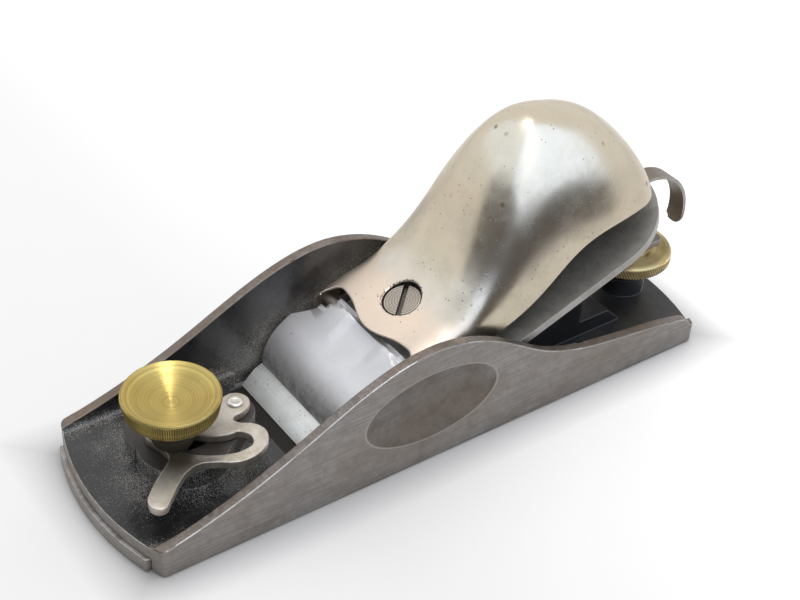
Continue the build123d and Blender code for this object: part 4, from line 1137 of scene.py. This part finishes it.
class BLOCKPLANE_OT_stage(bpy.types.Operator):
    """Pale floor, dark and pale cards, soft lamps and the camera"""
    bl_idname = "block_plane.stage"
    bl_label = "Stage"

    def execute(self, context):
        stage = settings("stage")
        self.floor(tuple(stage.floor))
        self.sky(stage.sky)
        self.cards()
        softbox = self.lamp(
            "overhead_softbox", (-0.28, -0.25, 0.85), (0, 0, 0.02), (1.4, 1.1), stage.overhead)
        softbox.visible_glossy = False
        aim = (0.06, 0, 0.025)
        keys = (((0.14, 0.42, 0.72), 0.26, 1.6), ((0.02, -0.09, 0.72), 0.18, 1.4))
        for number, (place, size, share) in enumerate(keys):
            key = self.lamp("small_key_%d" % number, place, aim, (size, size), stage.key * share)
            key.visible_diffuse = False
        self.camera(stage.focal)
        context.scene.view_settings.view_transform = "Standard"
        return {"FINISHED"}

    @classmethod
    def floor(cls, colour):
        """Floor that glows a little outside the plane, with painted shade where the glow fades near it,
        painted light towards the heel, and a painted shadow under the mouth.
        """
        form = bmesh.new()
        bmesh.ops.create_grid(form, x_segments=1, y_segments=1, size=6.0)
        paper = Finish("floor_paper")
        x, y, _ = paper.axes()

        def outside(middle, half_x, half_y):
            """Distance in metres outside a rectangle on the floor."""
            return paper.most(paper.minus(paper.off(x, middle), half_x), paper.minus(paper.off(y), half_y))

        # The glow fades out within 12 mm of the plane and is gone under it: painted shade round the plane's
        # foot
        open_floor = paper.ramp(outside(0.0, 0.078, 0.022), 0.0, 0.012)
        # Painted shadow: the floor turns near-black under the plane's mouth
        outside_painted_mouth_shadow = paper.ramp(outside(0.036, 0.014, 0.020), 0.0, 0.003)
        matte = paper.node("ShaderNodeBsdfDiffuse", {"Color": paper.mix(outside_painted_mouth_shadow, (0.05, 0.046, 0.042), colour)})
        seen = paper.node("ShaderNodeLightPath").outputs["Is Camera Ray"]
        # Painted light: more glow towards the heel, for camera rays, lifting the plane's shadow there
        painted_heel_light = paper.times(paper.ramp(x, 0.03, -0.09, 0.0, 0.24), seen)
        shine = paper.plus(cls.seen_rays(paper.tree, 0.3), painted_heel_light)
        glow = paper.node("ShaderNodeEmission", {"Strength": paper.times(shine, open_floor)})
        both = paper.node("ShaderNodeAddShader", {0: matte.outputs[0], 1: glow.outputs[0]})
        floor = link("floor", mesh_from(form, "floor"), [paper.swap(both)])
        floor.location.z = -0.0002

    @classmethod
    def sky(cls, share):
        """White surroundings, at full strength where seen or mirrored and a share of it elsewhere."""
        world = bpy.data.worlds.new("studio")
        bpy.context.scene.world = world
        world.use_nodes = True
        tree = world.node_tree
        sky = tree.nodes["Background"].inputs
        fill(tree, sky["Color"], (1.0, 1.0, 1.0))
        fill(tree, sky["Strength"], calc(tree, "ADD", cls.seen_rays(tree, 1.0 - share), share))

    @staticmethod
    def seen_rays(tree, strength):
        """Strength for camera, glossy and transmission rays, and nothing for the rest."""
        path = tree.nodes.new("ShaderNodeLightPath").outputs
        total = path["Is Camera Ray"]
        for name in ("Is Glossy Ray", "Is Transmission Ray"):
            total = calc(tree, "MAXIMUM", total, path[name])
        return calc(tree, "MULTIPLY", total, strength)

    @classmethod
    def cards(cls):
        """Cards that the plating mirrors: a dark one low down and pale ones above and beside it."""
        first, last, far, ground = -28.0, 142.0, 0.45, 0.0015
        skyline = smooth_curve((
            (first, 19.0), (0.0, 29.0), (25.0, 33.0), (50.0, 27.0),
            (75.0, 17.0), (100.0, 9.0), (120.0, 4.0), (last, 2.0)))

        def brow(turn):
            """Height in metres at which the dark card ends and the pale one starts."""
            return 0.05 + far * tan(radians(skyline(min(max(turn, first), last))))

        def dark(turn):
            near = 0.105 + 0.1 * max(0.0, (turn - 114.0) / 28.0)
            return (near, ground), (far, ground), (far, brow(turn))

        def pale(turn):
            foot = brow(turn) + 0.012 * max(0.0, turn - 140.0)
            return (0.46, foot), (0.44, 0.42), (0.36, 0.56), (0.20, 0.68), (0.02, 0.74)

        cls.card("dark_card", (first, last), dark, (0.15, 0.142, 0.14))
        cls.card("pale_card", (22.0, 162.0), pale, (1.42, 1.66, 2.10))
        cls.card("side_card", (-75.0, 22.0), pale, (1.20, 1.32, 1.50))

    @staticmethod
    def card(name, arc, outline, colour):
        """Curved card that only glossy surfaces show: radius and height in metres at each turn in degrees."""
        form = bmesh.new()
        rows, steps = [], 32
        for step in range(steps + 1):
            turn = arc[0] + (arc[1] - arc[0]) * step / steps
            aim = Vector((cos(radians(turn)), sin(radians(turn))))
            rows.append([form.verts.new((*(aim * reach), high)) for reach, high in outline(turn)])
        for here, there in zip(rows, rows[1:]):
            for i in range(len(here) - 1):
                form.faces.new((here[i], here[i + 1], there[i + 1], there[i]))
        felt = Finish(name)
        glow = felt.node("ShaderNodeEmission", {"Color": colour, "Strength": 1.0})
        made = link(name, mesh_from(form, name), [felt.swap(glow)])
        made.visible_camera = False
        made.visible_diffuse = False
        made.visible_shadow = False
        made.visible_transmission = False

    @staticmethod
    def lamp(name, place, aim, size, power):
        """Rectangular softbox aimed at a point."""
        data = bpy.data.lights.new(name, "AREA")
        data.shape = "RECTANGLE"
        data.size, data.size_y = size
        data.energy = power
        made = link(name, data)
        made.location = place
        made.rotation_euler = (Vector(aim) - Vector(place)).to_track_quat("-Z", "Y").to_euler()
        return made

    @staticmethod
    def camera(focal):
        """Camera fitted to the photograph."""
        data = bpy.data.cameras.new("photo_camera")
        data.lens = focal
        data.sensor_fit = "HORIZONTAL"
        data.sensor_width = 36.0
        data.clip_start = 0.01
        made = link("photo_camera", data)
        turn, lift, roll = radians(52.55), radians(37.55), radians(3.78)
        target, distance = Vector((-13.64, -17.91, 10.0)), 387.13
        back = Vector((cos(turn) * cos(lift), sin(turn) * cos(lift), sin(lift)))
        right = Vector((0, 0, 1)).cross(back).normalized()
        up = back.cross(right)
        level = right * cos(roll) + up * sin(roll)
        crown = up * cos(roll) - right * sin(roll)
        place = (target + back * distance) * MM
        made.matrix_world = Matrix((
            (level.x, crown.x, back.x, place.x),
            (level.y, crown.y, back.y, place.y),
            (level.z, crown.z, back.z, place.z),
            (0, 0, 0, 1)))
        bpy.context.scene.camera = made


GROUPS = {"sizes": PlaneSizes, "colours": PlaneColours, "stage": PlaneStage}
OPERATORS = (
    BLOCKPLANE_OT_casting, BLOCKPLANE_OT_throat, BLOCKPLANE_OT_knob, BLOCKPLANE_OT_cutter,
    BLOCKPLANE_OT_clamp, BLOCKPLANE_OT_cap, BLOCKPLANE_OT_screw, BLOCKPLANE_OT_depth,
    BLOCKPLANE_OT_lateral, BLOCKPLANE_OT_stage)


class BLOCKPLANE_PT_build(bpy.types.Panel):
    """Lists the sizes, the colours and the steps that build the plane"""
    bl_label = "Block Plane"
    bl_idname = "BLOCKPLANE_PT_build"
    bl_space_type = "VIEW_3D"
    bl_region_type = "UI"
    bl_category = "Block Plane"

    def draw(self, context):
        for kind in GROUPS:
            box = self.layout.box()
            group = settings(kind)
            for name in group.bl_rna.properties.keys():
                if name not in ("rna_type", "name"):
                    box.prop(group, name)
        for step in OPERATORS:
            self.layout.operator(step.bl_idname)


CLASSES = (*GROUPS.values(), *OPERATORS, BLOCKPLANE_PT_build)


def register():
    for item in CLASSES:
        bpy.utils.register_class(item)
    for kind, group in GROUPS.items():
        setattr(bpy.types.Scene, "block_plane_" + kind, bpy.props.PointerProperty(type=group))


def unregister():
    for kind in GROUPS:
        delattr(bpy.types.Scene, "block_plane_" + kind)
    for item in reversed(CLASSES):
        bpy.utils.unregister_class(item)


def main():
    register()
    bpy.ops.block_plane.casting()
    bpy.ops.block_plane.throat()
    bpy.ops.block_plane.knob()
    bpy.ops.block_plane.cutter()
    bpy.ops.block_plane.clamp()
    bpy.ops.block_plane.cap()
    bpy.ops.block_plane.screw()
    bpy.ops.block_plane.depth()
    bpy.ops.block_plane.lateral()
    bpy.ops.block_plane.stage()


if __name__ == "__main__":
    main()
